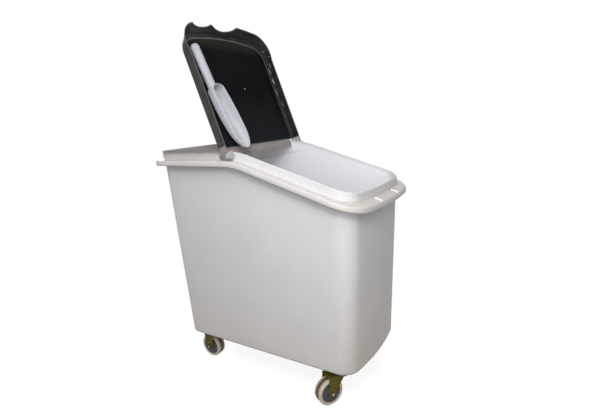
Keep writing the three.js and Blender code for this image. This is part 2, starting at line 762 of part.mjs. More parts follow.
/** Rectangle with round corners. */
function plateShape() {
  const shape = new THREE.Shape();
  const x = plateWidth / 2 - plateCorner;
  const y = plateLength / 2 - plateCorner;
  shape.absarc(x, y, plateCorner, 0, Math.PI / 2, false);
  shape.absarc(-x, y, plateCorner, Math.PI / 2, Math.PI, false);
  shape.absarc(-x, -y, plateCorner, Math.PI, Math.PI * 1.5, false);
  shape.absarc(x, -y, plateCorner, Math.PI * 1.5, Math.PI * 2, false);
  return shape;
}

/** Mounting plate against the underside of the base, with four holes for its screws. */
function makePlate() {
  const plate = new THREE.ExtrudeGeometry(plateShape(), {
    depth: plateThickness, bevelEnabled: false, curveSegments: coarseSteps,
  });
  let solid = solidOf(plate.translate(0, 0, plateUnderside));
  for (const [x, y] of plateHoles()) {
    const [low, high] = [plateUnderside - overrun, baseHeight + overrun];
    const hole = tube(screwRadius + runningGap, 0, low, high, screwSteps);
    solid = solid.subtract(solidOf(hole.translate(x, y, 0)));
  }
  return solid;
}

/** Swivel caster's plate, dished down to a raceway round the kingpin. */
function makeSwivelPlate() {
  const low = plateUnderside - raceDrop;
  const dish = tube(raceRadius + forkWall, 0, low, plateUnderside + plateThickness / 2, raceSteps);
  const hollow = tube(raceRadius - forkWall, 0, low + plateThickness, baseHeight + overrun, raceSteps);
  const bore = tube(kingpinRadius + runningGap, 0, -overrun, baseHeight + overrun);
  const plate = makePlate().add(solidOf(dish)).subtract(solidOf(hollow)).subtract(solidOf(bore));
  return geometryOf(plate);
}

/** Lower raceway between the plate and the crown of the fork. */
function makeBallRace() {
  const half = raceHeight / 2;
  const outer = raceRadius;
  return turned([[raceBore, raceTop - raceHeight], [outer - half, raceTop - raceHeight],
    [outer, raceTop - half], [outer - half, raceTop], [raceBore, raceTop],
    [raceBore, raceTop - raceHeight]], raceSteps);
}

/** Fork of a swivel caster: round crown and two legs that trail behind the kingpin. */
function makeFork() {
  const crownBottom = crownTop - forkWall;
  let crown = solidOf(tube(crownRadius, 0, crownBottom, crownTop, raceSteps));
  const bridge = boxBetween([-forkOuter, -forkTopWidth / 2, crownBottom],
    [forkOuter, forkTopWidth / 2 + swivelTrail / 2, crownTop]);
  crown = crown.add(solidOf(bridge));
  const leg = makeLeg(crownTop, swivelTrail / 4, swivelTrail, forkTopWidth + swivelTrail / 2);
  const bore = tube(kingpinRadius + runningGap, 0, 0, baseHeight);
  const fork = crown.add(leg).add(mirrored(leg)).subtract(solidOf(bore));
  return geometryOf(fork);
}

/** Kingpin riveted over in the dish of the plate and under the crown. */
function makeKingpin() {
  const low = crownTop - forkWall - runningGap;
  const high = plateUnderside - raceDrop + plateThickness + runningGap;
  return turned([[0, low - kingpinHeadHeight], [kingpinHeadRadius * 0.7, low - kingpinHeadHeight],
    [kingpinHeadRadius, low], [kingpinRadius, low], [kingpinRadius, high], [kingpinHeadRadius, high],
    [kingpinHeadRadius * 0.7, high + kingpinHeadHeight], [0, high + kingpinHeadHeight]], turnedSteps);
}

/** Bracket of a rigid caster: plate and two legs pressed from one sheet. */
function makeRigidBracket() {
  const leg = makeLeg(plateUnderside + forkWall / 2, 0, 0, forkTopWidth + axleEndRadius);
  return geometryOf(makePlate().add(leg).add(mirrored(leg)));
}

/** Tube that the hub turns on, clamped between the two legs. */
function makeBushing() {
  const reach = forkInner - runningGap;
  return alongX(tube(bushingRadius, axleRadius + runningGap, -reach, reach));
}

/** Hexagon-headed bolt along X through both legs. */
function makeAxleBolt() {
  const seat = -forkOuter - runningGap;
  const end = forkOuter + runningGap + boltHeadHeight + axleRadius / 2;
  const head = alongX(tube(boltHeadRadius, 0, seat - boltHeadHeight, seat, 6));
  const shank = alongX(tube(axleRadius, 0, seat - boltHeadHeight / 2, end));
  return geometryOf(solidOf(head).add(solidOf(shank)));
}

/** Nut on the free end of the bolt. */
function makeAxleNut() {
  const seat = forkOuter + runningGap;
  const nut = alongX(tube(boltHeadRadius, 0, seat, seat + boltHeadHeight, 6));
  const bore = alongX(tube(axleRadius + runningGap, 0, seat - overrun, seat + overrun));
  return geometryOf(solidOf(nut).subtract(solidOf(bore)));
}

/** Screw that holds a plate to the base, pointing up. */
function makeScrew() {
  const under = plateUnderside - runningGap;
  return turned([[0, under - screwHeadHeight], [screwHeadRadius * 0.6, under - screwHeadHeight],
    [screwHeadRadius, under - screwHeadHeight / 2], [screwHeadRadius, under], [screwRadius, under],
    [screwRadius, baseHeight + screwDepth], [0, baseHeight + screwDepth]], screwSteps);
}

/** Wheel with its bushing, bolt and nut, in a group at the axle. */
function addWheel(group, name, place) {
  const wheel = new THREE.Group();
  wheel.position.set(0, place, axleHeight);
  addPiece(wheel, `${name}_tyre`, makeTyre(), finishes.tyre);
  addPiece(wheel, `${name}_hub`, makeHub(), finishes.hub);
  addPiece(wheel, `${name}_bushing`, makeBushing(), finishes.steel);
  addPiece(wheel, `${name}_axle_bolt`, makeAxleBolt(), finishes.steel);
  addPiece(wheel, `${name}_axle_nut`, makeAxleNut(), finishes.steel);
  group.add(wheel);
}

/** One caster under the base; a front one swivels and trails its wheel. */
function addCaster(place) {
  const caster = new THREE.Group();
  caster.position.set(place.x, place.y, 0);
  for (const [index, [x, y]] of plateHoles().entries()) {
    const screw = addPiece(caster, `${place.name}_screw_${index + 1}`, makeScrew(), finishes.steel);
    screw.position.set(x, y, 0);
  }
  if (place.front) {
    addPiece(caster, `${place.name}_top_plate`, makeSwivelPlate(), finishes.zinc);
    addPiece(caster, `${place.name}_ball_race`, makeBallRace(), finishes.zinc);
    addPiece(caster, `${place.name}_kingpin`, makeKingpin(), finishes.steel);
    const swivel = new THREE.Group();
    swivel.rotation.z = place.sign < 0 ? leftSwivel : rightSwivel;
    addPiece(swivel, `${place.name}_fork`, makeFork(), finishes.zinc);
    addWheel(swivel, place.name, swivelTrail);
    caster.add(swivel);
  } else {
    addPiece(caster, `${place.name}_bracket`, makeRigidBracket(), finishes.zinc);
    addWheel(caster, place.name, 0);
  }
  parts.add(caster);
}

/** Cradle under the scoop's handle: a pad on the lid and two prongs up to the handle's middle. */
function makeCradle(centreDepth) {
  const inner = handleRadius + runningGap;
  const outer = inner + cradleWall;
  const foot = -centreDepth;
  const shape = new THREE.Shape();
  shape.moveTo(-outer, 0);
  shape.lineTo(-outer, foot);
  shape.lineTo(outer, foot);
  shape.lineTo(outer, 0);
  shape.lineTo(inner, 0);
  shape.absarc(0, 0, inner, 0, -Math.PI, true);
  shape.closePath();
  const cradle = new THREE.ExtrudeGeometry(shape, {
    depth: cradleLength, bevelEnabled: false, curveSegments: cradleSteps,
  });
  return cradle.rotateX(Math.PI / 2);
}

/** Front lid with its pins, the cradle and the scoop, opened about the hinge axis. */
function addLid() {
  const lid = new THREE.Group();
  lid.position.copy(hingePlace);
  lid.rotation.x = lidTurn;
  addPiece(lid, 'front_lid', makeFrontLid(), finishes.smoke);
  const pin = makeHingePin();
  addPiece(lid, 'hinge_pin_right', pin, finishes.clear);
  addPiece(lid, 'hinge_pin_left', pin.clone().rotateZ(Math.PI), finishes.clear);
  const stowed = new THREE.Group();
  const scoopLength = handleLength + bowlLength;
  const innerFace = lidRise - lidWall;
  const handleCentre = innerFace - runningGap - handleSeat - handleRadius;
  const away = new THREE.Vector2(Math.sin(scoopTurn), Math.cos(scoopTurn)).multiplyScalar(scoopLength);
  stowed.position.set(scoopTipInset - rimWidth / 2 - away.x, -(scoopTipReach + away.y), handleCentre);
  stowed.rotation.z = -scoopTurn;
  const flipped = new THREE.Group();
  flipped.rotation.y = Math.PI;
  const scoop = addPiece(flipped, 'scoop', makeScoop(), finishes.scoop);
  scoop.position.z = handleDepth;
  const footDepth = innerFace - runningGap - handleCentre;
  const cradle = addPiece(flipped, 'scoop_cradle', makeCradle(footDepth), finishes.clear);
  cradle.position.y = cradleHandlePlace + cradleLength / 2;
  stowed.add(flipped);
  lid.add(stowed);
  parts.add(lid);
}

addPiece(parts, 'bin_tub', makeTub(), finishes.tub);
addPiece(parts, 'rear_cover', makeRearCover(), finishes.clear);
addLid();
for (const place of casterPlaces()) addCaster(place);

export default parts;
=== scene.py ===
import json
import math

import bmesh
import bpy
import numpy as np
from mathutils import Matrix, Vector


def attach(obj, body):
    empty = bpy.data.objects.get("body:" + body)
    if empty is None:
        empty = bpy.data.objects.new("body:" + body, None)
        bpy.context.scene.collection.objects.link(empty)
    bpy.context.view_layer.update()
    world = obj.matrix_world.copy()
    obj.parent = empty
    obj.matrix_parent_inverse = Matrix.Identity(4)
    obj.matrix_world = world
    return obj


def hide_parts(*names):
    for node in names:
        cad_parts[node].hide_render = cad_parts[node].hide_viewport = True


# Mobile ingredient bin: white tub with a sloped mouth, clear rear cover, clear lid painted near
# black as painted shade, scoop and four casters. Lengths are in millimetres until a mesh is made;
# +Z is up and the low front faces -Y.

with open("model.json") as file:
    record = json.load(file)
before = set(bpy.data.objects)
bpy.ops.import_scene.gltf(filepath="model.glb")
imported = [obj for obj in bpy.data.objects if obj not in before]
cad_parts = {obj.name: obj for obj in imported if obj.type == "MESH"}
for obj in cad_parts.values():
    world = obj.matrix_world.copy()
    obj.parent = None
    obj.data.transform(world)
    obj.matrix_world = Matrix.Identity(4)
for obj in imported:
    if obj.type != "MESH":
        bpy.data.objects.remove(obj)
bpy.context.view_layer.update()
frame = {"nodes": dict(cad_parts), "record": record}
nodes = frame["nodes"]
bodies = frame["record"]["behaviour"]["bodies"]
home = {node: body for body, held in bodies.items() for node in held}

MM = 0.001

# Tub
RIM = dict(half=204, front=-370, rear=370, bow=18.5, front_radius=80, rear_radius=52)
BASE = dict(half=166, front=-320, rear=317.5, bow=17, front_radius=52, rear_radius=31)
BASE_HEIGHT, RIM_HEIGHT = 106, 695
KNEE_PLACE, KNEE_BLEND, SLOPE = 19, 34, math.tan(math.radians(17.2))
BEAD, COLLAR_TOP, LEDGE, COLLAR_WALL = 16, 41, 27.3, 6
TUB_WALL, BASE_THICKNESS, BASE_FILLET, OVERHANG = 4, 9, 10, 29.3
ROLL, RIM_FILLET, LEDGE_FILLET, COLLAR_FILLET, UNDER_RIM = 2, 5, 2, 3, (-6.5, 9.5, -2.5)
# The cream mark grows towards the front by this share, as painted shade.
FLOOR_SHARES, FRONT_PAINTED_SHADE = (0.4, 0.75, 0.94), 1.5
BOW_STEPS, CORNER_STEPS, REAR_CORNER_STEPS, REAR_STEPS = 24, 22, 16, 11
SIDE_POINTS, KNEE_POINTS, WALL_POINTS = 16, 21, 25
REST_PLACE = 60

# Rear cover
COVER_OUTSET, COVER_WALL, COVER_TOP, COVER_BOTTOM = -23.8, 3, 739.5, 713.5
COVER_FILLET, COVER_INNER_INSET, COVER_LIP, COVER_LIP_HALF = 3, 6.5, 19, 170.2
COVER_SIDE_START, COVER_BOW = -110, 0.05
# Painted shade up the cover's flange, from its free edge round its bend.
COVER_PAINTED_SHADE = (0.1, 0.02, 0.05, 0.16, 0.5, 0.7, 0.85, 0.9, 0.9)

# Lid, in its own frame: the hinge axis is X through the origin, its top is up and its front is -Y
HINGE = np.array([0, 38, 726])
LID_TURN = -math.radians(109.43)
LID = dict(half=193, front=-390.5, bow=22.8, radius=64)
LID_TOP, LID_WALL, LID_FILLET, LID_INNER_FILLET, FLANGE = 28, 3, 5, 9, 31
FRONT_SPLAY, SLOT_INNER, SLOT_OUTER, SLOT_LENGTH, APRON_SWEEP = 25, 167.7, 183.7, 28, 105
OUTER_EDGES, INNER_EDGES, EAR_RADIUS, PIN_BORE = (188, SLOT_OUTER), (181, 180), 11, 4.3
DIPS, DIP_POWER = ((17, -0.03, 0.28), (11, -0.5, 0.21)), 0.6
# Painted glints on the lid flange's inner face: row, column and brightness.
PAINTED_GLINTS = ((64, 85, 0.8), (54, 90, 1), (42, 86, 0.5), (39, 83, 0.6), (36, 83, 1), (32, 82, 0.4),
          (29, 85, 0.3), (61, 1, 1))

# Grids of the trays: steps down the flange and round its bend, and rows
LID_STEPS, LID_ROWS, APRON_ROWS, LID_COLUMNS = (9, 6), 64, 14, 61
COVER_STEPS, COVER_ROWS, LIP_ROWS, COVER_COLUMNS = (4, 4), 44, 5, 49
LID_LAST, COVER_LAST, FIXED_ROWS = sum(LID_STEPS), sum(COVER_STEPS), 4


def bent(start, end, steps):
    """Angles from start to end in degrees, as radians."""
    return np.radians(np.linspace(start, end, steps + 1))


def turns(steps):
    """Angles evenly round a circle, in radians."""
    return np.linspace(0, 2 * math.pi, steps + 1)[:-1]


def quarter_round(share):
    """Rises from 0 to 1 like a quarter of a circle, and stays at 1 beyond it."""
    return np.sqrt(1 - (1 - np.minimum(1, share)) ** 2)


def unit(vectors):
    """Rows of vectors, each made one long."""
    return vectors / np.linalg.norm(vectors, axis=1)[:, None]


def columns(*parts):
    """Columns side by side, with plain values carried to the length of the arrays."""
    length = max(len(part) for part in parts if np.ndim(part))
    return np.column_stack([part if np.ndim(part) else np.full(length, part) for part in parts])


def turn_x(points, angle):
    """Points turned about X."""
    c, s = math.cos(angle), math.sin(angle)
    return points @ np.array([[1, 0, 0], [0, c, s], [0, -s, c]])


def turn_z(points, angle):
    """Points turned about Z."""
    c, s = math.cos(angle), math.sin(angle)
    return points @ np.array([[c, s, 0], [-s, c, 0], [0, 0, 1]])


def lid_place(points):
    """Points of the lid's own frame, put on the open lid."""
    return turn_x(points, LID_TURN) + HINGE


# Meshes
def grid_quads(rows, cols, keep=None):
    """Corner numbers of the cells of a grid, all of them or those kept."""
    index = np.arange(rows * cols).reshape(rows, cols)
    quads = np.stack((index[:-1, :-1], index[:-1, 1:], index[1:, 1:], index[1:, :-1]), -1)
    return quads.reshape(-1, 4) if keep is None else quads[keep]


def sheet(points):
    """Open or closed surface: one grid of points."""
    return points.reshape(-1, 3), grid_quads(*points.shape[:2])


def shell(outer, inner, keep=None):
    """Closed wall between two grids: both faces of the kept cells, and a rim along their edges."""
    rows, cols = outer.shape[:2]
    quads = grid_quads(rows, cols, keep)
    edges = np.concatenate([quads[:, [i, (i + 1) % 4]] for i in range(4)])
    _, first, count = np.unique(np.sort(edges, 1), axis=0, return_index=True, return_counts=True)
    rim = edges[first[count == 1]]
    layer = rows * cols
    walls = np.stack((rim[:, 1], rim[:, 0], rim[:, 0] + layer, rim[:, 1] + layer), -1)
    points = np.concatenate((outer.reshape(-1, 3), inner.reshape(-1, 3)))
    return points, np.concatenate((quads, quads[:, ::-1] + layer, walls))


def rings(*parts):
    """Closed tube of rings with both ends drawn to their middles."""
    ends = [np.broadcast_to(ring.mean(0), ring.shape) for ring in (parts[0], parts[-1])]
    stack = np.stack((ends[0], *parts, ends[1]))
    return sheet(np.concatenate((stack, stack[:, :1]), 1))


def lathe(profile, steps):
    """Surface of revolution: pairs of radius and place carried round X."""
    profile = np.asarray(profile, float)
    angle = np.linspace(0, 2 * math.pi, steps + 1)
    radius, place = profile[:, :1], profile[:, 1:]
    return sheet(np.stack((place + 0 * angle, radius * np.cos(angle), radius * np.sin(angle)), -1))


def bevel_levels(low, high, bevel):
    """Places through a plate with small bevels, each with its inset."""
    return (low, bevel), (low + bevel, 0), (high - bevel, 0), (high, bevel)


def prism(outline, low, high, bevel=0.5):
    """Plate along X: its outline in Y and Z, drawn in at both faces for a small bevel."""
    along = np.roll(outline, -1, 0) - np.roll(outline, 1, 0)
    out = unit(columns(along[:, 1], -along[:, 0]))
    return rings(*[columns(x, outline - out * inset)
                   for x, inset in bevel_levels(low, high, bevel)])


def arc_line(y, z, radius, start, end, steps):
    """Points of an arc in Y and Z; 0 degrees is +Y and 90 is +Z."""
    a = bent(start, end, steps)
    return columns(y + radius * np.cos(a), z + radius * np.sin(a))


def joined(*surfaces):
    """Several surfaces in one mesh."""
    points, quads = zip(*surfaces)
    starts = np.cumsum([0, *map(len, points[:-1])])
    return np.concatenate(points), np.concatenate([q + start for q, start in zip(quads, starts)])


def moved(surface, place):
    """Surface with its points put through a call."""
    return place(surface[0]), surface[1]


def both_sides(surface):
    """Surface with its mirror image on the other side of the YZ plane."""
    return joined(surface, mirror(surface))


def mirror(surface):
    """Same surface on the other side of the YZ plane."""
    return surface[0] * (-1, 1, 1), surface[1][:, ::-1]


def placed(name, data):
    """New object of a mesh, a lamp or a camera, linked to the scene."""
    made = bpy.data.objects.new(name, data)
    bpy.context.scene.collection.objects.link(made)
    return made


def piece(name, surface, slot, *replaced, body=None, sharp=32, bevel=0, marks=None, finish=None):
    """Mesh of a surface, with its doubles merged and its faces outwards, riding on a body.

    Marks are values per point that a finish reads, and a bevel rounds the edges that stay sharp.
    """
    points, quads = surface
    mesh = bpy.data.meshes.new(name)
    mesh.from_pydata((points * MM).tolist(), [], quads.tolist())
    for mark, values in (marks or {}).items():
        held = mesh.attributes.new(mark, "FLOAT", "POINT")
        held.data.foreach_set("value", np.ravel(values).astype(np.float32))
    work = bmesh.new()
    work.from_mesh(mesh)
    bmesh.ops.remove_doubles(work, verts=work.verts, dist=2e-6)
    bmesh.ops.dissolve_degenerate(work, edges=work.edges, dist=1e-6)
    bmesh.ops.delete(work, geom=[v for v in work.verts if not v.link_faces], context="VERTS")
    bmesh.ops.recalc_face_normals(work, faces=work.faces)
    work.to_mesh(mesh)
    work.free()
    mesh.shade_smooth()
    mesh.set_sharp_from_angle(angle=math.radians(sharp))
    mesh.materials.append(FINISHES[finish or slot])
    made = placed(name, mesh)
    if bevel:
        round_off = made.modifiers.new("edges", "BEVEL")
        round_off.width = bevel * MM
        round_off.segments = 2
        round_off.limit_method = "ANGLE"
        round_off.angle_limit = math.radians(50)
    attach(made, body or home[replaced[0]])
    if replaced:
        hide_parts(*replaced)


# Finishes
class Graph:
    """Node tree that starts empty. Its calls add nodes and give back the socket they make."""

    def __init__(self, owner):
        owner.use_nodes = True
        self.tree = owner.node_tree
        self.tree.nodes.clear()

    def add(self, kind, inputs=(), **settings):
        """Node of a kind; each of its inputs is a value, or a socket that is joined to it."""
        node = self.tree.nodes.new("ShaderNode" + kind)
        for key, value in settings.items():
            setattr(node, key, value)
        for key, value in dict(inputs).items():
            if isinstance(value, bpy.types.NodeSocket):
                self.tree.links.new(value, node.inputs[key])
            else:
                node.inputs[key].default_value = value
        return node

    def place(self):
        """Object coordinates."""
        return self.add("TexCoord").outputs["Object"]

    def noise(self, scale, detail=3.0):
        """Noise on Object coordinates."""
        inputs = {"Vector": self.place(), "Scale": scale, "Detail": detail, "Roughness": 0.55}
        return self.add("TexNoise", inputs).outputs["Fac"]

    def mark(self, name):
        """Value that a mesh carries under a name, per point."""
        return self.add("Attribute", attribute_name=name).outputs["Fac"]

    def ramp(self, value, *stops):
        """Colour between two stops, each a value and a colour."""
        made = self.add("ValToRGB", {"Fac": value})
        for element, (place, colour) in zip(made.color_ramp.elements, stops):
            element.position = place
            element.color = (*colour, 1)
        return made.outputs["Color"]

    def span(self, value, low, high, start, end):
        """Value carried from one range to another."""
        ends = {"From Min": low, "From Max": high, "To Min": start, "To Max": end}
        return self.add("MapRange", {"Value": value, **ends}).outputs["Result"]

    def most(self, first, second):
        """Larger of two values."""
        return self.add("Math", {0: first, 1: second}, operation="MAXIMUM").outputs["Value"]

    def blend(self, share, colour, marked):
        """Colour of a socket carried to a plain one by a share."""
        made = self.add("Mix", {0: share}, data_type="RGBA")
        first, second = [socket for socket in made.inputs if socket.type == "RGBA"]
        self.tree.links.new(colour, first)
        second.default_value = (*marked, 1)
        return next(socket for socket in made.outputs if socket.type == "RGBA")

    def mix(self, share, first, second):
        """Shader carried from one to another by a share."""
        return self.add("MixShader", {0: share, 1: first, 2: second}).outputs["Shader"]

    def show(self, shader, output="OutputMaterial"):
        """Shader put on the surface."""
        self.add(output, {"Surface": shader})


FINISHES = {}
NOISE_LOW, NOISE_HIGH = 0.3, 0.7


def new_finish(name):
    """Graph of a new material, which is kept under its name."""
    FINISHES[name] = bpy.data.materials.new(name)
    return Graph(FINISHES[name])


def painted(graph, inputs, stops, mottle, blends, fine, rough):
    """Principled shader: a colour mottled between two stops, then blends, and uneven roughness."""
    colour = graph.ramp(graph.noise(mottle), *stops)
    for share, marked in blends:
        colour = graph.blend(share, colour, marked)
    roughness = graph.span(fine, NOISE_LOW, NOISE_HIGH, *rough)
    inputs = {"Base Color": colour, "Roughness": roughness, **inputs}
    return graph.add("BsdfPrincipled", inputs).outputs["BSDF"]


def surface_finish(name, dark, pale, mottle, rough, grain, bump, marks=(), **inputs):
    """Plastic, rubber or metal: mottled colour, uneven roughness, a grain, and marks' colours."""
    graph = new_finish(name)
    fine = graph.noise(grain, 4.0)
    strength, distance = bump
    lift = graph.add("Bump", {"Strength": strength, "Distance": distance, "Height": fine})
    blends = [(graph.mark(mark), marked) for mark, marked in marks]
    graph.show(painted(graph, {"Normal": lift.outputs["Normal"], **inputs},
                       ((0.32, dark), (0.68, pale)), mottle, blends, fine, rough))


# Tub marks: painted light that pales the inner faces, a cream tint that is painted shade low on the
# wall and in front, and painted shade in creases.
surface_finish(
    "tub_plastic", (0.712, 0.717, 0.730), (0.752, 0.757, 0.770), 6, (0.36, 0.48), 900,
    (0.12, 0.0002), (("painted_inner_light", (0.915, 0.93, 0.96)), ("cream", (0.66, 0.60, 0.545)),
                     ("painted_crease_shade", (0.26, 0.21, 0.20))))
# Scoop: a painted highlight along the bowl's rims, and painted shade on the handle's neck.
surface_finish(
    "scoop_plastic", (0.52, 0.535, 0.575), (0.56, 0.575, 0.61), 14, (0.6, 0.7), 1100, (0.1, 0.0002),
    (("rim", (0.92, 0.92, 0.93)), ("painted_neck_shade", (0.24, 0.24, 0.25))), IOR=1.25)
surface_finish(
    "zinc", (0.085, 0.062, 0.004), (0.135, 0.10, 0.010), 45, (0.4, 0.6), 700, (0.1, 0.0002),
    Metallic=0.15, IOR=1.3)
surface_finish(
    "steel", (0.42, 0.42, 0.42), (0.62, 0.62, 0.61), 90, (0.22, 0.42), 900, (0.08, 0.0002),
    Metallic=0.95)
surface_finish(
    "tread", (0.24, 0.19, 0.12), (0.36, 0.29, 0.19), 30, (0.5, 0.7), 800, (0.2, 0.0003),
    (("cream", (0.60, 0.52, 0.41)), ("groove", (0.06, 0.024, 0.014))))
surface_finish(
    "hub_plastic", (0.05, 0.055, 0.063), (0.08, 0.085, 0.095), 60, (0.5, 0.7), 900, (0.15, 0.0002),
    IOR=1.35)
surface_finish(
    "pale_fitting", (0.40, 0.39, 0.38), (0.56, 0.55, 0.54), 60, (0.15, 0.25), 500, (0.1, 0.0002),
    **{"Coat Weight": 0.3})


def clear_mix(graph, tint, film, pale, deep, shade_line_colour):
    """Clear moulded plastic: see-through with a tint, under a film that grows at a grazing angle.

    The film is pale face on and deep at the edges. Lines that the mesh marks are painted shade:
    more opaque, in a darker colour of their own.
    """
    facing = graph.add("LayerWeight", {"Blend": 0.5}).outputs["Facing"]
    line = graph.mark("line")
    stops = (NOISE_LOW, pale), (NOISE_HIGH, np.multiply(pale, 1.12))
    blends = (graph.span(facing, 0.75, 0.95, 0, 1), deep), (line, shade_line_colour)
    shine = painted(graph, {"Specular IOR Level": 0.0}, stops, 25, blends, graph.noise(160),
                    (0.12, 0.2))
    through = graph.add("BsdfTransparent", {"Color": (*tint, 1)}).outputs["BSDF"]
    return graph.mix(graph.most(graph.span(facing, 0.4, 0.95, *film), line), through, shine)


def clear_finish():
    """Clear plastic of the cover and the small fittings."""
    graph = new_finish("clear_plastic")
    graph.show(clear_mix(graph, (0.96, 0.95, 0.94), (0.04, 0.6), (0.72, 0.70, 0.69),
                         (0.34, 0.325, 0.32), (0.13, 0.11, 0.105)))


def dark_painted_lid_finish():
    """Lid of clear plastic painted near black on its panel and flanges, as painted shade for the
    dark seen through it, with painted highlight lines and glints on the flanges, and clear ends
    behind.

    Its parts change with the distance from the hinge along the lid, in metres. The panel is a
    little paler near the hinge, and far out it has a brownish painted reflection.
    """
    graph = new_finish("smoke_plastic")
    shift = graph.add("VectorMath", {0: graph.place(), 1: HINGE * MM}, operation="SUBTRACT")
    ahead = (0, -math.cos(LID_TURN), -math.sin(LID_TURN))
    dot = {0: shift.outputs["Vector"], 1: ahead}
    along = graph.add("VectorMath", dot, operation="DOT_PRODUCT").outputs["Value"]
    fine = graph.noise(220)
    # Panel: near black, a little paler near the hinge, and a brownish painted reflection far out.
    stops = (NOISE_LOW, (0.0062, 0.0068, 0.0074)), (NOISE_HIGH, (0.0112, 0.012, 0.013))
    panel = painted(graph, {"IOR": 1.05}, stops, 7, (
        (graph.span(along, 0.03, 0.2, 0.9, 0), (0.018, 0.0202, 0.0235)),
        (graph.span(along, 0.335, 0.372, 0, 0.9), (0.036, 0.034, 0.028))), fine, (0.1, 0.2))
    # Flange: near black, with painted highlight lines and painted glints.
    stops = (NOISE_LOW, (0.012, 0.012, 0.0118)), (NOISE_HIGH, (0.042, 0.040, 0.037))
    flange = painted(graph, {"IOR": 1.14}, stops, 30, (
        (graph.mark("line"), (0.19, 0.19, 0.195)),
        (graph.mark("painted_glint"), (0.85, 0.80, 0.73))), fine, (0.15, 0.25))
    # Painted shade of the lines in the lid's clear ends.
    shade_line_colour = (0.20, 0.18, 0.17)
    clear = clear_mix(graph, (0.985, 0.975, 0.97), (0, 0.05), (0.60, 0.575, 0.56),
                      (0.50, 0.475, 0.46), shade_line_colour)
    dusky = clear_mix(graph, (0.97, 0.96, 0.95), (0.7, 0.78), (0.42, 0.385, 0.365),
                      (0.36, 0.33, 0.315), shade_line_colour)
    dark = graph.mix(graph.mark("flange"), panel, flange)
    ends = graph.mix(graph.span(along, -0.002, 0.012, 0, 1), clear, dusky)
    graph.show(graph.mix(graph.span(along, 0.026, 0.032, 0, 1), ends, dark))


clear_finish()
dark_painted_lid_finish()


# Tub
def bowed_front(half, front, bow, radius):
    """Radius and middle of the bow, middle of the corner's arc, and the angle where they meet."""
    bow_radius = (half * half + bow * bow) / (2 * bow)
    bow_y = front + bow_radius
    corner_x = half - radius
    corner_y = bow_y - math.sqrt((bow_radius - radius) ** 2 - corner_x**2)
    return bow_radius, bow_y, corner_x, corner_y, math.atan2(corner_x, bow_y - corner_y)


def arc(x, y, radius, angles):
    """Places and outward directions of an arc seen from above; 0 is -Y and a quarter turn is +X."""
    out = np.stack((np.sin(angles), -np.cos(angles)), -1)
    return np.array([x, y]) + radius * out, out


def plan(half, front, rear, bow, front_radius, rear_radius):
    """Outline seen from above, anticlockwise: a bowed front, arcs at the corners, straight sides.

    The sides have more points where the deck bends. Returns the places and the outward
    directions, both as columns of X and Y.
    """
    bow_radius, bow_y, corner_x, corner_y, turn = bowed_front(half, front, bow, front_radius)
    turn = math.degrees(turn)
    side_end = rear - rear_radius
    start = RIM["front"] + RIM["front_radius"] + RIM["bow"]
    length = RIM["rear"] - RIM["rear_radius"] - start
    knee, blend = (KNEE_PLACE - start) / length, KNEE_BLEND / length
    shares = np.concatenate((
        np.linspace(0, knee - blend, SIDE_POINTS)[1:],
        np.linspace(knee - blend, knee + blend, KNEE_POINTS)[1:],
        np.linspace(knee + blend, 1, SIDE_POINTS)[1:-1]))
    side = columns(half, corner_y + (side_end - corner_y) * shares)
    rear_arc = arc(half - rear_radius, side_end, rear_radius, bent(90, 180, REAR_CORNER_STEPS))
    rear_run = columns(rear_arc[0][-1, 0] * np.linspace(1, 0, REAR_STEPS + 1)[1:], rear)
    runs = (
        arc(0, bow_y, bow_radius, bent(0, turn, BOW_STEPS)),
        arc(corner_x, corner_y, front_radius, bent(turn, 90, CORNER_STEPS)[1:]),
        (side, np.broadcast_to((1.0, 0.0), side.shape)),
        rear_arc,
        (rear_run, np.broadcast_to((0.0, 1.0), rear_run.shape)))
    halves = [np.concatenate(run) for run in zip(*runs)]
    return [np.concatenate((run, run[-2:0:-1] * (-1, 1))) for run in halves]


def deck(y, lift):
    """Height of the deck: level at the rear, sloped in front, with a parabola between."""
    ahead = KNEE_PLACE - y
    blend = SLOPE * (ahead + KNEE_BLEND) ** 2 / (4 * KNEE_BLEND)
    drop = np.where(ahead <= -KNEE_BLEND, 0, np.where(ahead >= KNEE_BLEND, SLOPE * ahead, blend))
    return RIM_HEIGHT + lift - drop


rim_place, rim_out = plan(**RIM)
base_place, base_out = plan(**BASE)


def rim_ring(outwards, lift):
    """Ring beside the rim, lifted above the deck."""
    place = rim_place + rim_out * outwards
    return columns(place, deck(place[:, 1], lift))


def base_ring(outwards, lift):
    """Ring beside the base."""
    place = base_place + base_out * outwards
    return columns(place, BASE_HEIGHT + lift)


def floor_ring(share, outwards, lift):
    """Ring on the tub's floor: the ring beside the base drawn in towards its own middle."""
    ring = base_ring(outwards, lift)
    return ring.mean(0) + (ring - ring.mean(0)) * share


def wall_ring(lift):
    """Ring at the top of the wall: it follows the side's draft up to the height of the deck."""
    high = rim_place - rim_out * OVERHANG
    front = np.maximum(0, -rim_out[:, 1]) ** 2
    rise = (deck(high[:, 1], 0) - BASE_HEIGHT) / (RIM_HEIGHT - BASE_HEIGHT)
    place = base_place + (high - base_place) * (1 + (rise - 1) * (1 - front))[:, None]
    return columns(place, deck(place[:, 1], lift))


def bend(ring, outwards, lift, radius, start, end, steps):
    """Rings round a bend, whose middle stands outwards and up."""
    return [ring(outwards + radius * math.cos(a), lift + radius * math.sin(a))
            for a in bent(start, end, steps)]


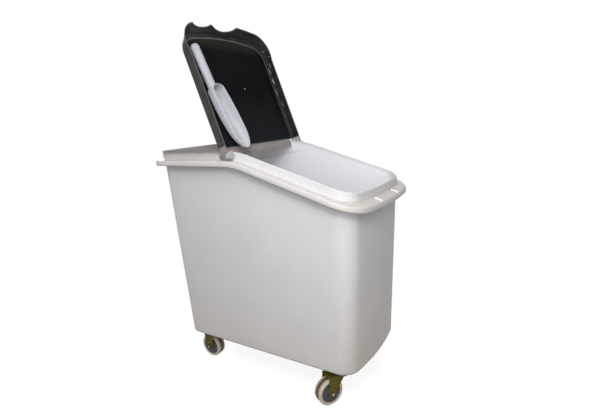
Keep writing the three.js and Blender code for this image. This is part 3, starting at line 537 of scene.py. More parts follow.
def make_tub():
    """Tub: the profile of its wall carried round the base and the rim.

    Each group of rings has three marks: painted light that pales the inner wall and floor, a cream
    tint on the rim and in the ledge's corner that is painted shade low on the wall and in front,
    and painted shade that darkens the crease below the rim and the base's lower edge. The cream is
    stronger in front.
    """
    lowest, highest = base_ring(0, BASE_FILLET), wall_ring(BEAD - TUB_WALL)
    heights = (*np.linspace(0, 0.98, WALL_POINTS), 0.9955, 1)
    wall = [lowest + (highest - lowest) * t for t in heights]
    collar_inside, floor_edge = -LEDGE - COLLAR_WALL, -TUB_WALL - BASE_FILLET
    floor_bend = BASE_THICKNESS + BASE_FILLET
    inner_low, inner_high = base_ring(-TUB_WALL, floor_bend), rim_ring(collar_inside, BEAD)
    inner = [inner_high + (inner_low - inner_high) * t for t in np.linspace(0, 1, WALL_POINTS)]
    collar_bend = bend(
        rim_ring, -LEDGE - COLLAR_WALL / 2, COLLAR_TOP - COLLAR_FILLET, COLLAR_FILLET, 0, 180, 10)
    # Marks per group, in order: painted light that pales the inner faces, cream that is painted
    # shade low on the wall, and painted shade in creases.
    groups = (
        ([floor_ring(share, -BASE_FILLET, 0) for share in FLOOR_SHARES], (0, 0, 0)),
        (bend(base_ring, -BASE_FILLET, BASE_FILLET, BASE_FILLET, -90, 0, 6)[:-1], (0, 0.3, 0.45)),
        *(([ring], (0, 0.45 * (1 - t) ** 2, 0)) for ring, t in zip(wall[:-1], heights)),
        (wall[-1:], (0, 0, 0.9)),
        (bend(rim_ring, *UNDER_RIM, -90, 0, 3) + [rim_ring(-4, 2.5)], (0, 0, 0.9)),
        (bend(rim_ring, -ROLL, ROLL, ROLL, 180, 300, 4), (0, 0, 0.9)),
        (bend(rim_ring, -ROLL, ROLL, ROLL, 300, 360, 2)[1:], (0, 0.7, 0.15)),
        ([rim_ring(0, 6), rim_ring(0, 8.5)], (0, 0.3, 0)),
        (bend(rim_ring, -RIM_FILLET, BEAD - RIM_FILLET, RIM_FILLET, 0, 90, 7), (0, 0.3, 0)),
        ([rim_ring(-LEDGE * t, BEAD) for t in (0.4, 0.65)], (0, 0.25, 0)),
        ([rim_ring(-LEDGE * 0.8, BEAD)], (0, 0.55, 0)),
        (bend(rim_ring, -LEDGE + LEDGE_FILLET, BEAD + LEDGE_FILLET, LEDGE_FILLET, -90, -180, 4),
         (0, 0.5, 0)),
        ([rim_ring(-LEDGE, BEAD + 6), rim_ring(-LEDGE, BEAD + 14)], (0, 0, 0)),
        (collar_bend, (0, 0.1, 0)),
        ([rim_ring(collar_inside, BEAD + 12), *inner], (1, 0, 0)),
        (bend(base_ring, floor_edge, floor_bend, BASE_FILLET, 0, -90, 6)[1:], (1, 0, 0)),
        ([floor_ring(share, floor_edge, BASE_THICKNESS) for share in FLOOR_SHARES[::-1]],
         (1, 0, 0)))
    values = np.array([marks for group, marks in groups for _ in group], float)
    values = np.concatenate((values[:1], values, values[-1:]))
    spread = np.repeat(values, len(rim_place) + 1, 0)
    # In front the cream grows, as painted shade.
    front = np.tile(np.maximum(0, -np.append(rim_out[:, 1], rim_out[0, 1])), len(values))
    spread[:, 1] = np.minimum(1, spread[:, 1] * (1 + FRONT_PAINTED_SHADE * front))
    made = rings(*[ring for group, _ in groups for ring in group])
    return made, dict(zip(("painted_inner_light", "cream", "painted_crease_shade"), spread.T))


surface, values = make_tub()
piece("tub_body", surface, "tub_plastic", "bin_tub", sharp=50, marks=values)


def make_rest(x):
    """Low bar on the front ledge: a rounded box whose sides roll over into its top."""
    half_length, half_width, height, sink, roll, steps = 12, 2.5, 4.4, 1.5, 1.6, 32
    y = RIM["front"] + LEDGE / 2
    angle = turns(steps)
    across = half_width * np.cos(angle)
    along = half_width * np.sin(angle) + np.sign(np.sin(angle)) * (half_length - half_width)
    levels = [(1, -sink), (1, height - roll)] + [
        (1 - 0.55 * (1 - math.cos(a)), height - roll + roll * math.sin(a)) for a in bent(15, 90, 5)]
    places = [columns(x + across * s, y + along * (0.8 + 0.2 * s)) for s, _ in levels]
    return rings(*[columns(place, deck(place[:, 1], BEAD) + z)
                   for place, (_, z) in zip(places, levels)])


rests = joined(make_rest(-REST_PLACE), make_rest(REST_PLACE))
piece("deck_rests", rests, "tub_plastic", body="bin")


# Trays: the rear cover and the lid
def lines_of(half, start, front, bow, radius):
    """The side and the front of a tray's outline, right half, as calls of 0 to 1.

    The side runs straight from start and round half of the corner's arc; the front runs round
    the other half and along the bow to the middle line. Each gives places and directions.
    """
    bow_radius, bow_y, corner_x, corner_y, turn = bowed_front(half, front, bow, radius)
    halfway = (turn + math.pi / 2) / 2
    side_split, front_split = 0.5, 0.4

    def side(t):
        round_share = np.clip((t - side_split) / (1 - side_split), 0, 1)
        angle = math.pi / 2 + (halfway - math.pi / 2) * round_share
        place, out = arc(corner_x, corner_y, radius, angle)
        straight = start + (corner_y - start) * np.clip(t / side_split, 0, 1)
        place[:, 1] += np.where(t < side_split, straight - corner_y, 0)
        return place, out

    def front_line(t):
        angle = halfway + (turn - halfway) * np.clip(t / front_split, 0, 1)
        bow_angle = turn * (1 - np.clip((t - front_split) / (1 - front_split), 0, 1))
        corner = arc(corner_x, corner_y, radius, angle)
        bowed = arc(0, bow_y, bow_radius, bow_angle)
        far = (t > front_split)[:, None]
        return [np.where(far, b, c) for b, c in zip(bowed, corner)]

    return side, front_line


def tray(lines, levels, widths, rear, cut, rows):
    """Grid over a tray with flanges along both sides and the front, and its rear open.

    Level 0 follows the free edge and the last level the edge of the flat panel; each level is a
    call that sets points beside the outline. Fixed rows run straight from the start of the sides
    back to the cut. The panel is a blend of its four edges.
    """
    side, front_line = lines
    fixed, k = FIXED_ROWS, len(levels) - 1
    cols = len(widths) + 2 * k
    grid = np.zeros((rows, cols, 3))
    last_row, last_col = rows - 1, cols - 1
    back = np.linspace(1, 0, fixed + 1)[:, None]

    def within(n):
        return np.arange(fixed, last_row - n + 1), np.arange(n, last_col - n + 1)

    for n, level in enumerate(levels):
        j, i = within(n)
        u = 2 * (i - n) / (last_col - 2 * n) - 1
        front_place, front_out = front_line(1 - np.abs(u))
        flip = columns(np.where(u < 0, -1, 1), 1)
        grid[last_row - n, i] = level(front_place * flip, front_out * flip)
        place, out = side((j - fixed) / (last_row - n - fixed))
        for sign, col in ((-1, n), (1, last_col - n)):
            grid[j, col] = level(place * (sign, 1), out * (sign, 1))
            start = grid[fixed, col].copy()
            end = np.array([start[0], cut(start[2]), start[2]])
            grid[:fixed + 1, col] = start + (end - start) * back
    j, i = within(k)
    base = grid[fixed, k]
    row = columns(widths, *base[1:])
    s = ((j - fixed) / (last_row - k - fixed))[:, None, None]
    u = (np.arange(len(widths)) / (len(widths) - 1))[None, :, None]
    left, right = grid[j, k][:, None], grid[j, last_col - k][:, None]
    front = grid[last_row - k, i][None].copy()

    def across(first, last):
        return first * (1 - u) + last * u

    corners = across(row[0], row[-1]) * (1 - s) + across(front[0, 0], front[0, -1]) * s
    panel = across(left, right) + (row[None] * (1 - s) + front * s) - corners
    grid[j[0]:j[-1] + 1, i[0]:i[-1] + 1] = panel
    rear_row = row.copy()
    rear_row[:, 1] = np.where(np.abs(row[:, 0]) <= rear[0] + 0.01, rear[1], cut(base[2]))
    grid[:fixed + 1, i[1]:i[-1]] = (row + (rear_row - row) * back[:, None])[:, 1:-1]
    return grid


def level_of(grid):
    """Level of each point of a tray's grid: 0 at the free edge, growing inwards, for both faces."""
    rows, cols = grid.shape[:2]
    i, j = np.arange(cols), np.arange(rows)
    level = np.minimum(np.minimum(i, cols - 1 - i)[None], (rows - 1 - j)[:, None])
    return np.tile(level.ravel(), 2)


def row_of(grid):
    """Row of each point of a grid, for both faces."""
    return np.tile(np.repeat(np.arange(grid.shape[0]), grid.shape[1]), 2)


def all_cells(grid):
    """Every cell of a grid, as kept."""
    return np.ones((grid.shape[0] - 1, grid.shape[1] - 1), bool)


def dip_depth(x):
    """Depth of the dips in the lid's free edge: raised cosines to a power that makes them full."""
    place = [np.minimum(1, np.abs((x / LID["half"] - centre) / half)) for _, centre, half in DIPS]
    return np.max([deep * np.cos(p * math.pi / 2) ** DIP_POWER
                   for (deep, _, _), p in zip(DIPS, place)], 0)


def lid_levels(wall, fillet, top):
    """Levels of the lid's outer or inner face: a flared flange, then a quarter bend.

    Each has its share down the flange and its angle round the bend.
    """
    def level_at(share, angle):
        def level(place, out):
            depth = FLANGE - np.where(out[:, 1] < -0.5, dip_depth(place[:, 0]), 0)
            reach = FRONT_SPLAY * np.maximum(0, -out[:, 1]) * depth / FLANGE
            start = reach * fillet / LID_TOP if wall else 0 * reach
            inset = fillet * (1 - math.cos(angle))
            off = start * math.cos(angle) + (reach - start) * share - wall - inset
            fall = (LID_TOP - depth - top + fillet) * share
            height = top - fillet + fall + fillet * math.sin(angle)
            return columns(place + out * off[:, None], height)
        return level

    flange_steps, bend_steps = LID_STEPS
    flange = [level_at(share, 0) for share in np.linspace(1, 0, flange_steps + 1)]
    return flange + [level_at(0, angle) for angle in bent(0, 90, bend_steps)[1:]]


def lid_cut(z):
    """Place along Y of the rear ends of the lid's flanges, at a height."""
    return EAR_RADIUS * (1 - np.clip(z / LID_TOP, 0, 1))


def make_lid():
    """Lid: its outer and inner trays, with a quarter-round apron behind, and the cells kept.

    A slot on each side parts the apron from the flange.
    """
    lines = lines_of(LID["half"], -SLOT_LENGTH, LID["front"], LID["bow"], LID["radius"])
    middle = np.linspace(-SLOT_INNER, SLOT_INNER, LID_COLUMNS)
    sweep = bent(APRON_SWEEP, 0, APRON_ROWS)[:-1]
    faces = []
    for wall, fillet, top, edges in (
            (0, LID_FILLET, LID_TOP, OUTER_EDGES),
            (LID_WALL, LID_INNER_FILLET, LID_TOP - LID_WALL, INNER_EDGES)):
        widths = np.concatenate((np.negative(edges), middle, edges[::-1]))
        levels = lid_levels(wall, fillet, top)
        grid = tray(lines, levels, widths, (SLOT_INNER, 0.0), lid_cut, LID_ROWS)
        apron = np.repeat(grid[:1], APRON_ROWS, 0)
        apron[..., 1] = (top * np.sin(sweep))[:, None]
        apron[..., 2] = (top * np.cos(sweep))[:, None]
        faces.append(np.concatenate((apron, grid)))
    keep = all_cells(faces[0])
    slot = LID_LAST + 1
    keep[:APRON_ROWS, :slot + 1] = keep[:APRON_ROWS, -slot - 1:] = False
    keep[:APRON_ROWS + FIXED_ROWS, [slot, -slot - 1]] = False
    return *faces, keep


def lid_marks(outer, inner):
    """Marks of the lid's points: its flange, lines that are painted highlights on the dark flange
    and painted shade in the clear ends, and painted glints on its inner face.

    The lines run along the bend, the free edge and low on the outside, and spread at the left.
    """
    left_start, left_spread, line_spread, low_level = -60, 80, 1.1, 3
    level, row = level_of(outer), row_of(outer)
    outside = np.arange(len(level)) < len(level) // 2
    left = np.clip((left_start - np.stack((outer, inner))[..., 0].ravel()) / left_spread, 0, 1)
    line = np.max((
        np.clip(1 - np.abs(level - LID_LAST) / line_spread, 0, 1), 0.6 * (level == 0),
        0.2 * (level == low_level) * outside, 0.2 * left * (level < LID_LAST)), 0)
    line *= row >= APRON_ROWS
    painted_glint = np.zeros((2, *outer.shape[:2]))
    for row, col, bright in PAINTED_GLINTS:
        painted_glint[1, row, col] = bright
    return {"line": line, "painted_glint": painted_glint, "flange": level <= LID_LAST}


outer, inner, keep = make_lid()
# The lid is clear; its finish paints it near black as painted shade, with painted highlight lines
# and glints.
piece("lid_shell", shell(lid_place(outer), lid_place(inner), keep), "smoke_plastic", "front_lid",
      bevel=0.8, marks=lid_marks(outer, inner))


def make_notch_bead():
    """Bead round the finger dip: a circle carried along the wall's middle near its free edge."""
    inset, radius, width_share, end_steps, steps = 0.8, 2, 1.02, 3, 12
    profile = ((outer + inner) / 2)[:-LID_LAST - 2:-1, LID_LAST + 1:-LID_LAST - 1]
    cols = profile.shape[1]
    run = np.cumsum(np.linalg.norm(np.diff(profile, axis=0), axis=2), 0)
    run = np.concatenate((np.zeros((1, cols)), run))
    path = np.array([[np.interp(inset, run[:, col], profile[:, col, axis]) for axis in range(3)]
                     for col in range(cols)])
    _, centre, half = DIPS[0]
    path = path[np.abs(profile[0, :, 0] / LID["half"] - centre) < half * width_share]
    along = unit(np.gradient(path, axis=0))
    across = unit(np.cross(along, (0, 0.4, 1)))
    third = np.cross(along, across)
    count = np.arange(len(path))
    size = radius * quarter_round(np.minimum(count, count[::-1]) / end_steps + 0.1)
    c, s = np.cos(turns(steps))[:, None], np.sin(turns(steps))[:, None]
    return rings(*[p + r * (c * a + s * b) for p, r, a, b in zip(path, size, across, third)])


bead = make_notch_bead()
# The bead's pale line is a painted highlight.
piece("notch_bead", moved(bead, lid_place), "smoke_plastic", body="lid", marks={
    "flange": np.ones(len(bead[0])), "line": np.full(len(bead[0]), 0.85)})


def make_gate_mark():
    """Moulding mark on the panel's inner face: a low dome of revolution."""
    x, y, radius, height, lift = 20, -214, 2.3, 0.9, 0.05
    profile = [(radius * math.cos(a), height * math.sin(a)) for a in bent(0, 90, 6)]
    points, quads = lathe([(radius, 0), *profile], 24)
    up, across, along = points.T
    return columns(across + x, along + y, LID_TOP - LID_WALL + lift - up), quads


# The dome's pale finish is a painted glint on the dark lid.
piece("gate_mark", moved(make_gate_mark(), lid_place), "scoop_plastic", body="lid")


def cover_levels(wall, top):
    """Levels of the cover's outer or inner face: an upright flange and a quarter bend."""
    def level_at(off, z):
        return lambda place, out: columns(place + out * off, z)

    flange_steps, bend_steps = COVER_STEPS
    start = top - COVER_FILLET
    flange = [level_at(-wall, z) for z in np.linspace(COVER_BOTTOM, start, flange_steps + 1)]
    return flange + [
        level_at(-wall - COVER_FILLET * (1 - math.cos(a)), start + COVER_FILLET * math.sin(a))
        for a in bent(0, 90, bend_steps)[1:]]


LIP_OUT = LID_TOP + 0.8
ALONG = np.array([-math.cos(LID_TURN), -math.sin(LID_TURN)])
OUT = np.array([-math.sin(LID_TURN), math.cos(LID_TURN)])


def lip_place(height, out):
    """Place along Y of a plane beside the open lid at a height."""
    along = (height - HINGE[2] - OUT[1] * out) / ALONG[1]
    return HINGE[1] + ALONG[0] * along + OUT[0] * out


def make_cover():
    """Rear cover and its painted shade lines: made back to front as a tray with a slanted lip, then
    turned.

    The painted shade lines grow up the flange and round its bend, and run along the lip's fold and
    free edge.
    """
    half = RIM["half"] + COVER_OUTSET
    lines = lines_of(half, COVER_SIDE_START, -(RIM["rear"] + COVER_OUTSET), COVER_BOW,
                     RIM["rear_radius"] + COVER_OUTSET)
    middle = np.linspace(-COVER_LIP_HALF, COVER_LIP_HALF, COVER_COLUMNS)
    faces = []
    for wall, inset in ((0, COVER_FILLET), (COVER_WALL, COVER_INNER_INSET)):
        top, lip = COVER_TOP - wall, LIP_OUT + wall
        widths = np.concatenate(([inset - half], middle, [half - inset]))
        grid = tray(
            lines, cover_levels(wall, top), widths, (COVER_LIP_HALF, -lip_place(top, lip)),
            lambda z: -lip_place(z, LIP_OUT), COVER_ROWS)
        heights = np.linspace(COVER_TOP - COVER_LIP, top, LIP_ROWS + 1)[:-1]
        lip_rows = np.repeat(grid[:1], LIP_ROWS, 0)
        lip_rows[..., 1] = -lip_place(heights, lip)[:, None]
        lip_rows[..., 2] = heights[:, None]
        faces.append(np.concatenate((lip_rows, grid)) * (1, -1, 1))
    keep = all_cells(faces[0])
    keep[:LIP_ROWS, :COVER_LAST + 1] = keep[:LIP_ROWS, -COVER_LAST - 1:] = False
    row, level = row_of(faces[0]), level_of(faces[0])
    flange = level <= COVER_LAST
    line = np.interp(level, range(COVER_LAST + 1), COVER_PAINTED_SHADE) * flange * (row >= LIP_ROWS)
    lip_painted_shade = 0.75 * (row == LIP_ROWS) * ~flange + 0.25 * (row == 0)
    return shell(*faces, keep), np.maximum(line, lip_painted_shade)


def make_ears():
    """Ears of the cover and their knuckles: plates round the hinge axis and short tubes."""
    _, y, z = HINGE
    edge = columns(y + 46, np.linspace(COVER_BOTTOM, COVER_TOP - 3, 8))
    plate = prism(np.concatenate((edge, arc_line(y, z, 12, 90, 270, 24))), 177.2, 180.2)
    tube = lathe([(PIN_BORE, 176), (8.2, 176), (9, 177), (9, 188.7), (8.2, 189.7),
                  (PIN_BORE, 189.7), (PIN_BORE, 176)], 40)
    return both_sides(joined(plate, moved(tube, lambda points: points + HINGE)))


surface, values = make_cover()
# The cover's line mark is painted shade along its edges and folds.
piece("cover_tray", surface, "clear_plastic", "rear_cover", bevel=0.6, marks={"line": values})
piece("cover_ears", make_ears(), "clear_plastic", body="bin", finish="pale_fitting")

# Round ears on the lid's flanges, and the headed pins through them
ear = lathe([(PIN_BORE, 190), (10.4, 190), (EAR_RADIUS, 190.6), (EAR_RADIUS, 192.4), (10.4, 193),
             (PIN_BORE, 193), (PIN_BORE, 190)], 48)
piece("lid_ears", moved(both_sides(ear), lid_place), "clear_plastic", body="lid",
      finish="pale_fitting")
pin = lathe([(0, 177.5), (3, 177.5), (4, 178.5), (4, 193.3), (7.1, 193.3), (7.5, 193.8),
             (7.5, 195.2), (6.6, 196.4), (4.5, 197), (0, 197)], 40)
for side, surface in (("right", pin), ("left", mirror(pin))):
    piece(f"pin_{side}", moved(surface, lid_place), "clear_plastic", f"hinge_pin_{side}",
          finish="pale_fitting")


# Scoop
HANDLE_RADIUS, HANDLE_LENGTH = 13, 132
BOWL_LENGTH, BOWL_HALF, BOWL_DEPTH, BOWL_WALL = 204, 30, 35, 2.5
BOWL_END_SHARE, BOWL_NECK_SHARE, BOWL_WIDEN_SHARE = 0.06, 0.63, 0.62
BOWL_NOSE_SHARE, BOWL_KEEL_SHARE, BOWL_BACK_SHARE = 0.33, 0.78, 0.72
BOWL_PITCH, BOWL_ROUNDNESS, SCOOP_TURN = math.radians(4), 0.54, math.radians(5.6)
BOWL_STATIONS, BOWL_ACROSS, HANDLE_STEPS = 60, 40, 48
HANDLE_DEPTH = BOWL_DEPTH - HANDLE_RADIUS - 1
HANDLE_SEAT = 1.4
HANDLE_CENTRE = LID_TOP - LID_WALL - 0.3 - HANDLE_SEAT - HANDLE_RADIUS
TIP_X, TIP_REACH = -124.5, 7


def stowed(points):
    """Points of the scoop's or cradle's own frame, turned over and put on the open lid."""
    length = HANDLE_LENGTH + BOWL_LENGTH
    x, reach = TIP_X - math.sin(SCOOP_TURN) * length, TIP_REACH + math.cos(SCOOP_TURN) * length
    return lid_place(turn_z(points * (-1, 1, -1), -SCOOP_TURN) + (x, -reach, HANDLE_CENTRE))


def bowl_grid(inset):
    """Bowl: superellipse sections of half width and depth along Y, pitched up about its back.

    Both grow from the back over a short end; the half width widens from the neck and closes round
    the nose, and the depth falls along the keel, each as a quarter of a circle.
    """
    share = (1 - np.cos(np.linspace(0, math.pi, BOWL_STATIONS + 1))) / 2
    along = inset + (BOWL_LENGTH - 2 * inset) * share
    end = quarter_round(share / BOWL_END_SHARE)
    widen = BOWL_NECK_SHARE + (1 - BOWL_NECK_SHARE) * quarter_round(share / BOWL_WIDEN_SHARE)
    half = (BOWL_HALF - inset) * end * widen * quarter_round((1 - share) / BOWL_NOSE_SHARE)
    deep = (BOWL_DEPTH - inset) * end * quarter_round((1 - share) / BOWL_KEEL_SHARE)
    angle = np.linspace(0, math.pi, BOWL_ACROSS + 1)
    c, s = np.cos(angle), np.clip(np.sin(angle), 0, 1)
    s[[0, -1]] = 0
    x = -half[:, None] * np.sign(c) * np.abs(c) ** BOWL_ROUNDNESS
    z = -deep[:, None] * s**BOWL_ROUNDNESS
    points = np.stack((x, np.broadcast_to(along[:, None], x.shape), z), -1)
    return turn_x(points + (0, 0, BOWL_DEPTH), BOWL_PITCH) + (0, HANDLE_LENGTH, -BOWL_DEPTH)


def make_handle():
    """Handle: a round bar along Y with a ball end; its far end follows the curved back of the bowl.

    The back's place at a point is where its superellipse section has grown to reach that point.
    """
    angle = turns(HANDLE_STEPS)
    circle = columns(np.sin(angle), np.cos(angle))

    def ring(radius, place):
        across, up = (radius * circle).T
        return columns(across, place, up)

    def back_ring(radius):
        x, z = (radius * circle - (0, HANDLE_DEPTH)).T
        power = 2 / BOWL_ROUNDNESS
        wide, deep = np.abs(x / (BOWL_HALF * BOWL_BACK_SHARE)), np.abs(z / BOWL_DEPTH)
        grown = (wide**power + deep**power) ** (1 / power)
        place = BOWL_END_SHARE * BOWL_LENGTH * (1 - np.sqrt(1 - np.clip(grown, 0, 1) ** 2))
        return ring(radius, HANDLE_LENGTH + place + 1.1 - (z + BOWL_DEPTH) * math.sin(BOWL_PITCH))

    start = [ring(HANDLE_RADIUS * math.sin(t), HANDLE_RADIUS * (1 - math.cos(t)))
             for t in bent(0, 90, 8)[1:]]
    middle = [ring(HANDLE_RADIUS, y)
              for y in np.linspace(HANDLE_RADIUS, HANDLE_LENGTH - 2, 20)[1:]]
    return rings(*start, *middle, *[back_ring(HANDLE_RADIUS * t) for t in (1, 0.75, 0.5, 0.25)])


def make_scoop():
    """Scoop: a shell between two bowls, and a round handle that runs into its back."""
    bowl = shell(bowl_grid(0), bowl_grid(BOWL_WALL))
    handle = make_handle()
    x, y, _ = handle[0].T
    # Painted highlight along both rims of the bowl, stronger on one side.
    rim = np.zeros((2, BOWL_STATIONS + 1, BOWL_ACROSS + 1))
    rim[:, 3:, 0] = 0.12
    rim[:, 3:, -1] = 0.45
    # Painted shade on the handle's neck beside the bowl.
    painted_neck_shade = np.clip((-x - 4) / 5, 0, 1) * np.clip((y - HANDLE_LENGTH + 22) / 8, 0, 1)
    marks = {"rim": np.append(rim, 0 * x), "painted_neck_shade": np.append(0 * rim, painted_neck_shade)}
    return joined(moved(bowl, lambda points: points + (0, 0, HANDLE_DEPTH)), handle), marks


surface, values = make_scoop()
piece("scoop_moulding", moved(surface, stowed), "scoop_plastic", "scoop", bevel=0.9, marks=values)


def make_cradle():
    """Cradle: a clip carried along Y, its inner arc round the handle and its outer face a foot.

    Both faces hold as many points, so the wall between them is one shell.
    """
    inner, outer, foot = HANDLE_RADIUS + 0.3, HANDLE_RADIUS + 2.8, -(HANDLE_RADIUS + HANDLE_SEAT)
    down = np.linspace((outer, 0), (outer, foot), 9)
    level = np.linspace((outer, foot), (-outer, foot), 9)
    face = np.concatenate((down, level[1:], down[-2::-1] * (-1, 1)))
    return shell(*[
        np.stack([np.insert(line, 1, y, axis=1) for y in np.linspace(89, 111, 5)])
        for line in (arc_line(0, 0, inner, 0, -180, 24), face)])


piece("cradle_clip", moved(make_cradle(), stowed), "clear_plastic", "scoop_cradle", bevel=0.5)


# Casters
TYRE = [(31, -15), (31, -15.6), (36, -16), (40, -13), (40, -1.7), (38.5, 0), (40, 1.7), (40, 13),
        (36, 16), (31, 15.6), (31, 15), (31, -15)]
HUB = [(6.5, -17), (11.5, -17), (13, -13.2), (25.6, -12.2), (27.4, -14.2), (30.7, -14.2),
       (30.7, 14.2), (27.4, 14.2), (25.6, 12.2), (13, 13.2), (11.5, 17), (6.5, 17), (6.5, -17)]
FORK_INNER, FORK_WALL, FORK_TOP, LEG_END, SHEET = 18.5, 2.5, 44, 10, 2.5
FORK_OUTER = FORK_INNER + FORK_WALL
AXLE_HEIGHT, BOLT_RADIUS = 40, 4
HEX_RADIUS, HEX_START, HEX_END = 7, FORK_OUTER + 0.3, FORK_OUTER + 5.3
PLATE_LOW, RACE_TOP = 103.5, 98.2
CROWN_TOP = RACE_TOP - 5.4 - 0.3


def rounded(pairs, radius, steps=4):
    """Profile with each inner corner rounded by a quadratic curve that starts a radius away."""
    pairs = np.asarray(pairs, float)
    t = np.linspace(0, 1, steps + 1)[:, None]
    made = [pairs[:1]]
    for before, at, after in zip(pairs[:-2], pairs[1:-1], pairs[2:]):
        a, b = [at + (end - at) * min(radius, np.linalg.norm(end - at) / 2.2)
                / max(np.linalg.norm(end - at), 1e-6) for end in (before, after)]
        made.append((1 - t) ** 2 * a + 2 * t * (1 - t) * at + t * t * b)
    return np.concatenate((*made, pairs[-1:]))


def leg(top, centre, axle, width):
    """Pair of legs: wide at their tops, with edges that run tangent to the round axle ends."""
    drop = top - AXLE_HEIGHT
    reach = math.degrees(math.asin(LEG_END / (drop + width)))
    left = math.degrees(math.atan2(drop, -width / 2 - (axle - centre))) + 90 + reach
    right = math.degrees(math.atan2(drop, width / 2 - (axle - centre))) - 90 - reach
    high = columns(np.linspace(centre + width / 2, centre - width / 2, 12), top)
    low = arc_line(axle, AXLE_HEIGHT, LEG_END, left, right + 360, 24)

    def run(a, b):
        return a + (b - a) * np.linspace(0, 1, 8)[1:-1, None]

    outline = np.concatenate((high, run(high[-1], low[0]), low, run(low[-1], high[0])))
    return both_sides(prism(outline, FORK_INNER, FORK_OUTER, 0.7))


def disc(radius, low, high, bevel=0.8):
    """Round plate about Z with bevelled edges."""
    sides = [(radius - inset, z) for z, inset in bevel_levels(low, high, bevel)]
    points, quads = lathe([(0, low), *sides, (0, high)], 56)
    return points[:, [2, 1, 0]], quads


def slab(half_x, half_y, corner, low, high, bevel=0.7):
    """Level plate with round corners: its outline drawn in at both faces for a small bevel."""
    outline = np.concatenate([
        arc_line(sx * (half_x - corner), sy * (half_y - corner), corner, start, start + 90, 8)
        for sx, sy, start in ((1, 1, 0), (-1, 1, 90), (-1, -1, 180), (1, -1, 270))])
    scale = np.array([half_x, half_y])
    return rings(*[columns(outline * (1 - inset / scale), z)
                   for z, inset in bevel_levels(low, high, bevel)])


def hexagon(low, high):
    """Hexagonal head or nut along X with bevelled corners."""
    corners = HEX_RADIUS * columns(np.cos(turns(6)), np.sin(turns(6)))
    t = np.linspace(0, 1, 5)[:-1, None]
    sides = [a + (b - a) * t for a, b in zip(corners, np.roll(corners, -1, 0))]
    return prism(np.concatenate(sides), low, high, 0.6)


def make_wheel(name, put):
    """Tyre, hub and bushing, and the bolt and nut of the axle, put in place by a call."""
    tyre = lathe(rounded(TYRE, 4.5, 6), 96)
    x, y, z = tyre[0].T
    groove = np.clip((6 - np.abs(x)) / 4, 0, 1) * (np.hypot(y, z) > 36)
    piece(f"{name}_tread", put(tyre), "tread", f"{name}_tyre", sharp=40,
          marks={"groove": groove, "cream": np.clip((np.abs(x) - 7) / 4, 0, 1)})
    hub = lathe(rounded(HUB, 1.2), 72)
    piece(f"{name}_wheel_hub", put(hub), "hub_plastic", f"{name}_hub", sharp=40)
    spacer = lathe([(PIN_BORE, -18.2), (6.2, -18.2), (6.2, 18.2), (PIN_BORE, 18.2),
                    (PIN_BORE, -18.2)], 32)
    piece(f"{name}_spacer", put(spacer), "steel", f"{name}_bushing")
    low, high = -FORK_OUTER - 2, FORK_OUTER + 7.3
    shank = lathe(rounded([(0, low), (BOLT_RADIUS, low), (BOLT_RADIUS, high), (0, high)], 0.8), 32)
    bolt = joined(hexagon(-HEX_END, -HEX_START), shank)
    piece(f"{name}_bolt", put(bolt), "zinc", f"{name}_axle_bolt")
    dome = lathe([(radius, -FORK_OUTER - reach) for radius, reach in (
        (2.6, 5), (2.6, 5.6), (1.9, 6.3), (1, 6.7), (0, 6.8))], 24)
    piece(f"{name}_bolt_end", put(dome), "steel", body=home[f"{name}_axle_bolt"])
    piece(f"{name}_nut", put(hexagon(HEX_START, HEX_END)), "steel", f"{name}_axle_nut")


def make_caster(name, x, y, trail, turn):
    """One caster: its wheel, and a fork that trails in front or a bracket at the rear."""
    def put(surface, at=(0, 0, 0)):
        return turn_z(surface[0] + at, turn) + (x, y, 0), surface[1]

    make_wheel(name, lambda surface: put(surface, (0, trail, AXLE_HEIGHT)))
    if trail:
        low = CROWN_TOP - SHEET
        bridge = np.array([(-22, low), (37, low), (37, CROWN_TOP), (-22, CROWN_TOP)])
        fork = joined(disc(24, low, CROWN_TOP), prism(bridge, -FORK_OUTER, FORK_OUTER, 0.3),
                      leg(CROWN_TOP, trail / 4, trail, FORK_TOP + trail / 2))
        piece(f"{name}_yoke", put(fork), "zinc", f"{name}_fork")
    else:
        bracket = joined(slab(30, 46, 8, PLATE_LOW, PLATE_LOW + SHEET),
                         leg(PLATE_LOW + 1.2, 0, 0, FORK_TOP + 10))
        piece(f"{name}_pressing", put(bracket), "zinc", f"{name}_bracket")


for name, x, y, trail, turn in (
    ("front_left", -125, -238, 30, 61), ("front_right", 125, -238, 30, 24),
    ("rear_left", -112, 270, 0, 0), ("rear_right", 112, 270, 0, 0),
):
    make_caster(name, x, y, trail, math.radians(turn))

# Nodes whose shape is right keep it and get their finish
for node, made in nodes.items():
    if made.hide_render:
        continue
    slot = None
    if node.endswith(("_top_plate", "_ball_race")):
        slot = "zinc"
    elif "_screw_" in node or node.endswith("_kingpin"):
        slot = "steel"
    if slot:
        made.data.materials.clear()
        made.data.materials.append(FINISHES[slot])


# Studio, in metres
FLOOR_HALF, SHADOW_END, WHITE_START = 9, 0.75, 1.15
FLOOR_COLOUR, FLOOR_LIFT = (0.25, 0.24, 0.23), 0.88
WORLD_COLOUR, WORLD_STRENGTH = (1.0, 0.965, 0.93), 0.2
WHITE, COOL = (1.0, 1.0, 1.0), (0.985, 0.99, 1.0)


def seen_rays(graph):
    """1 for camera, glossy and transmission rays, and 0 for the rest."""
    rays = graph.add("LightPath").outputs
    first = graph.most(rays["Is Camera Ray"], rays["Is Glossy Ray"])
    return graph.most(first, rays["Is Transmission Ray"])


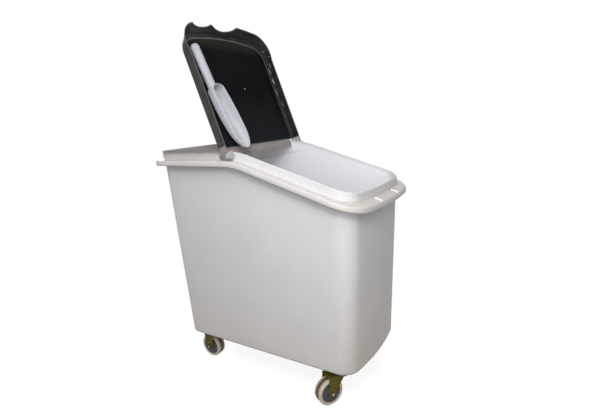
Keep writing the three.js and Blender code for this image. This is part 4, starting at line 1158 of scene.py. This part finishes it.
def floor_finish():
    """Floor: pale and diffuse, and lifted to white for rays that see it, with the shadow kept.

    Further out a seen floor is plain white, by the distance from the middle.
    """
    graph = new_finish("studio_floor")
    plain = graph.add("BsdfDiffuse", {"Color": (*FLOOR_COLOUR, 1)}).outputs["BSDF"]
    lift, white = [graph.add("Emission", {"Strength": strength}).outputs["Emission"]
                   for strength in (FLOOR_LIFT, 1)]
    lifted = graph.add("AddShader", {0: plain, 1: lift}).outputs["Shader"]
    far = graph.add("VectorMath", {0: graph.place()}, operation="LENGTH").outputs["Value"]
    seen = graph.mix(graph.span(far, SHADOW_END, WHITE_START, 0, 1), lifted, white)
    graph.show(graph.mix(seen_rays(graph), plain, seen))


def make_floor():
    """Floor: a level square in the XY plane."""
    side = (-FLOOR_HALF, FLOOR_HALF)
    mesh = bpy.data.meshes.new("floor")
    mesh.from_pydata([(x, y, 0) for y in side for x in side], [], [(0, 1, 3, 2)])
    mesh.materials.append(FINISHES["studio_floor"])
    made = placed("floor", mesh)


def make_world():
    """World: soft warm light on the object, and plain white where it is seen."""
    world = bpy.data.worlds.new("studio")
    bpy.context.scene.world = world
    graph = Graph(world)
    skies = [
        graph.add("Background", {"Color": (*colour, 1), "Strength": strength}).outputs["Background"]
        for colour, strength in ((WORLD_COLOUR, WORLD_STRENGTH), (WHITE, 1))]
    graph.show(graph.mix(seen_rays(graph), *skies), "OutputWorld")


def make_lamp(name, place, aim, size, power, colour):
    """Square area lamp at a place, in metres, turned towards a height on the bin's middle line."""
    data = bpy.data.lights.new(name, "AREA")
    data.size = size
    data.energy = power
    data.color = colour
    lamp = placed(name, data)
    lamp.location = place
    lamp.rotation_euler = Vector(np.subtract(place, (0, 0, aim))).to_track_quat("Z", "Y").to_euler()


floor_finish()
make_floor()
make_world()
for lamp in (
    ("key", (-1.12, -0.78, 1.45), 0.55, 0.35, 8, COOL),
    ("low_key", (-1.3, -0.80, 0.98), 0.6, 1.0, 10, COOL),
    ("overhead", (-1.3, -0.45, 2.6), 0.5, 0.7, 12, WHITE),
    ("rear_fill", (1.7, 1.7, 1.5), 0.45, 1.3, 34, WHITE),
):
    make_lamp(*lamp)

# Camera at the photograph's place, in metres: turned from +X towards +Y, then tipped and rolled
YAW, PITCH, ROLL = 0.567953, -0.212254, -0.061891
CAMERA_PLACE = (-1.0721711, -0.7725564, 0.8276137)
FOCAL_PIXELS, PICTURE_WIDTH, SENSOR_WIDTH = 416.75, 612, 36


def make_camera():
    """Camera, whose own view is down -Z with +Y up, turned to its yaw, pitch and roll."""
    data = bpy.data.cameras.new("camera")
    data.sensor_width = SENSOR_WIDTH
    data.lens = FOCAL_PIXELS * SENSOR_WIDTH / PICTURE_WIDTH
    data.clip_start = 0.05
    camera = placed("camera", data)
    turned = Matrix.Translation(CAMERA_PLACE)
    for angle, axis in ((YAW - math.pi / 2, "Z"), (PITCH + math.pi / 2, "X"), (ROLL, "Z")):
        turned = turned @ Matrix.Rotation(angle, 4, axis)
    camera.matrix_world = turned
    bpy.context.scene.camera = camera


make_camera()
bpy.context.scene.view_settings.view_transform = "Standard"
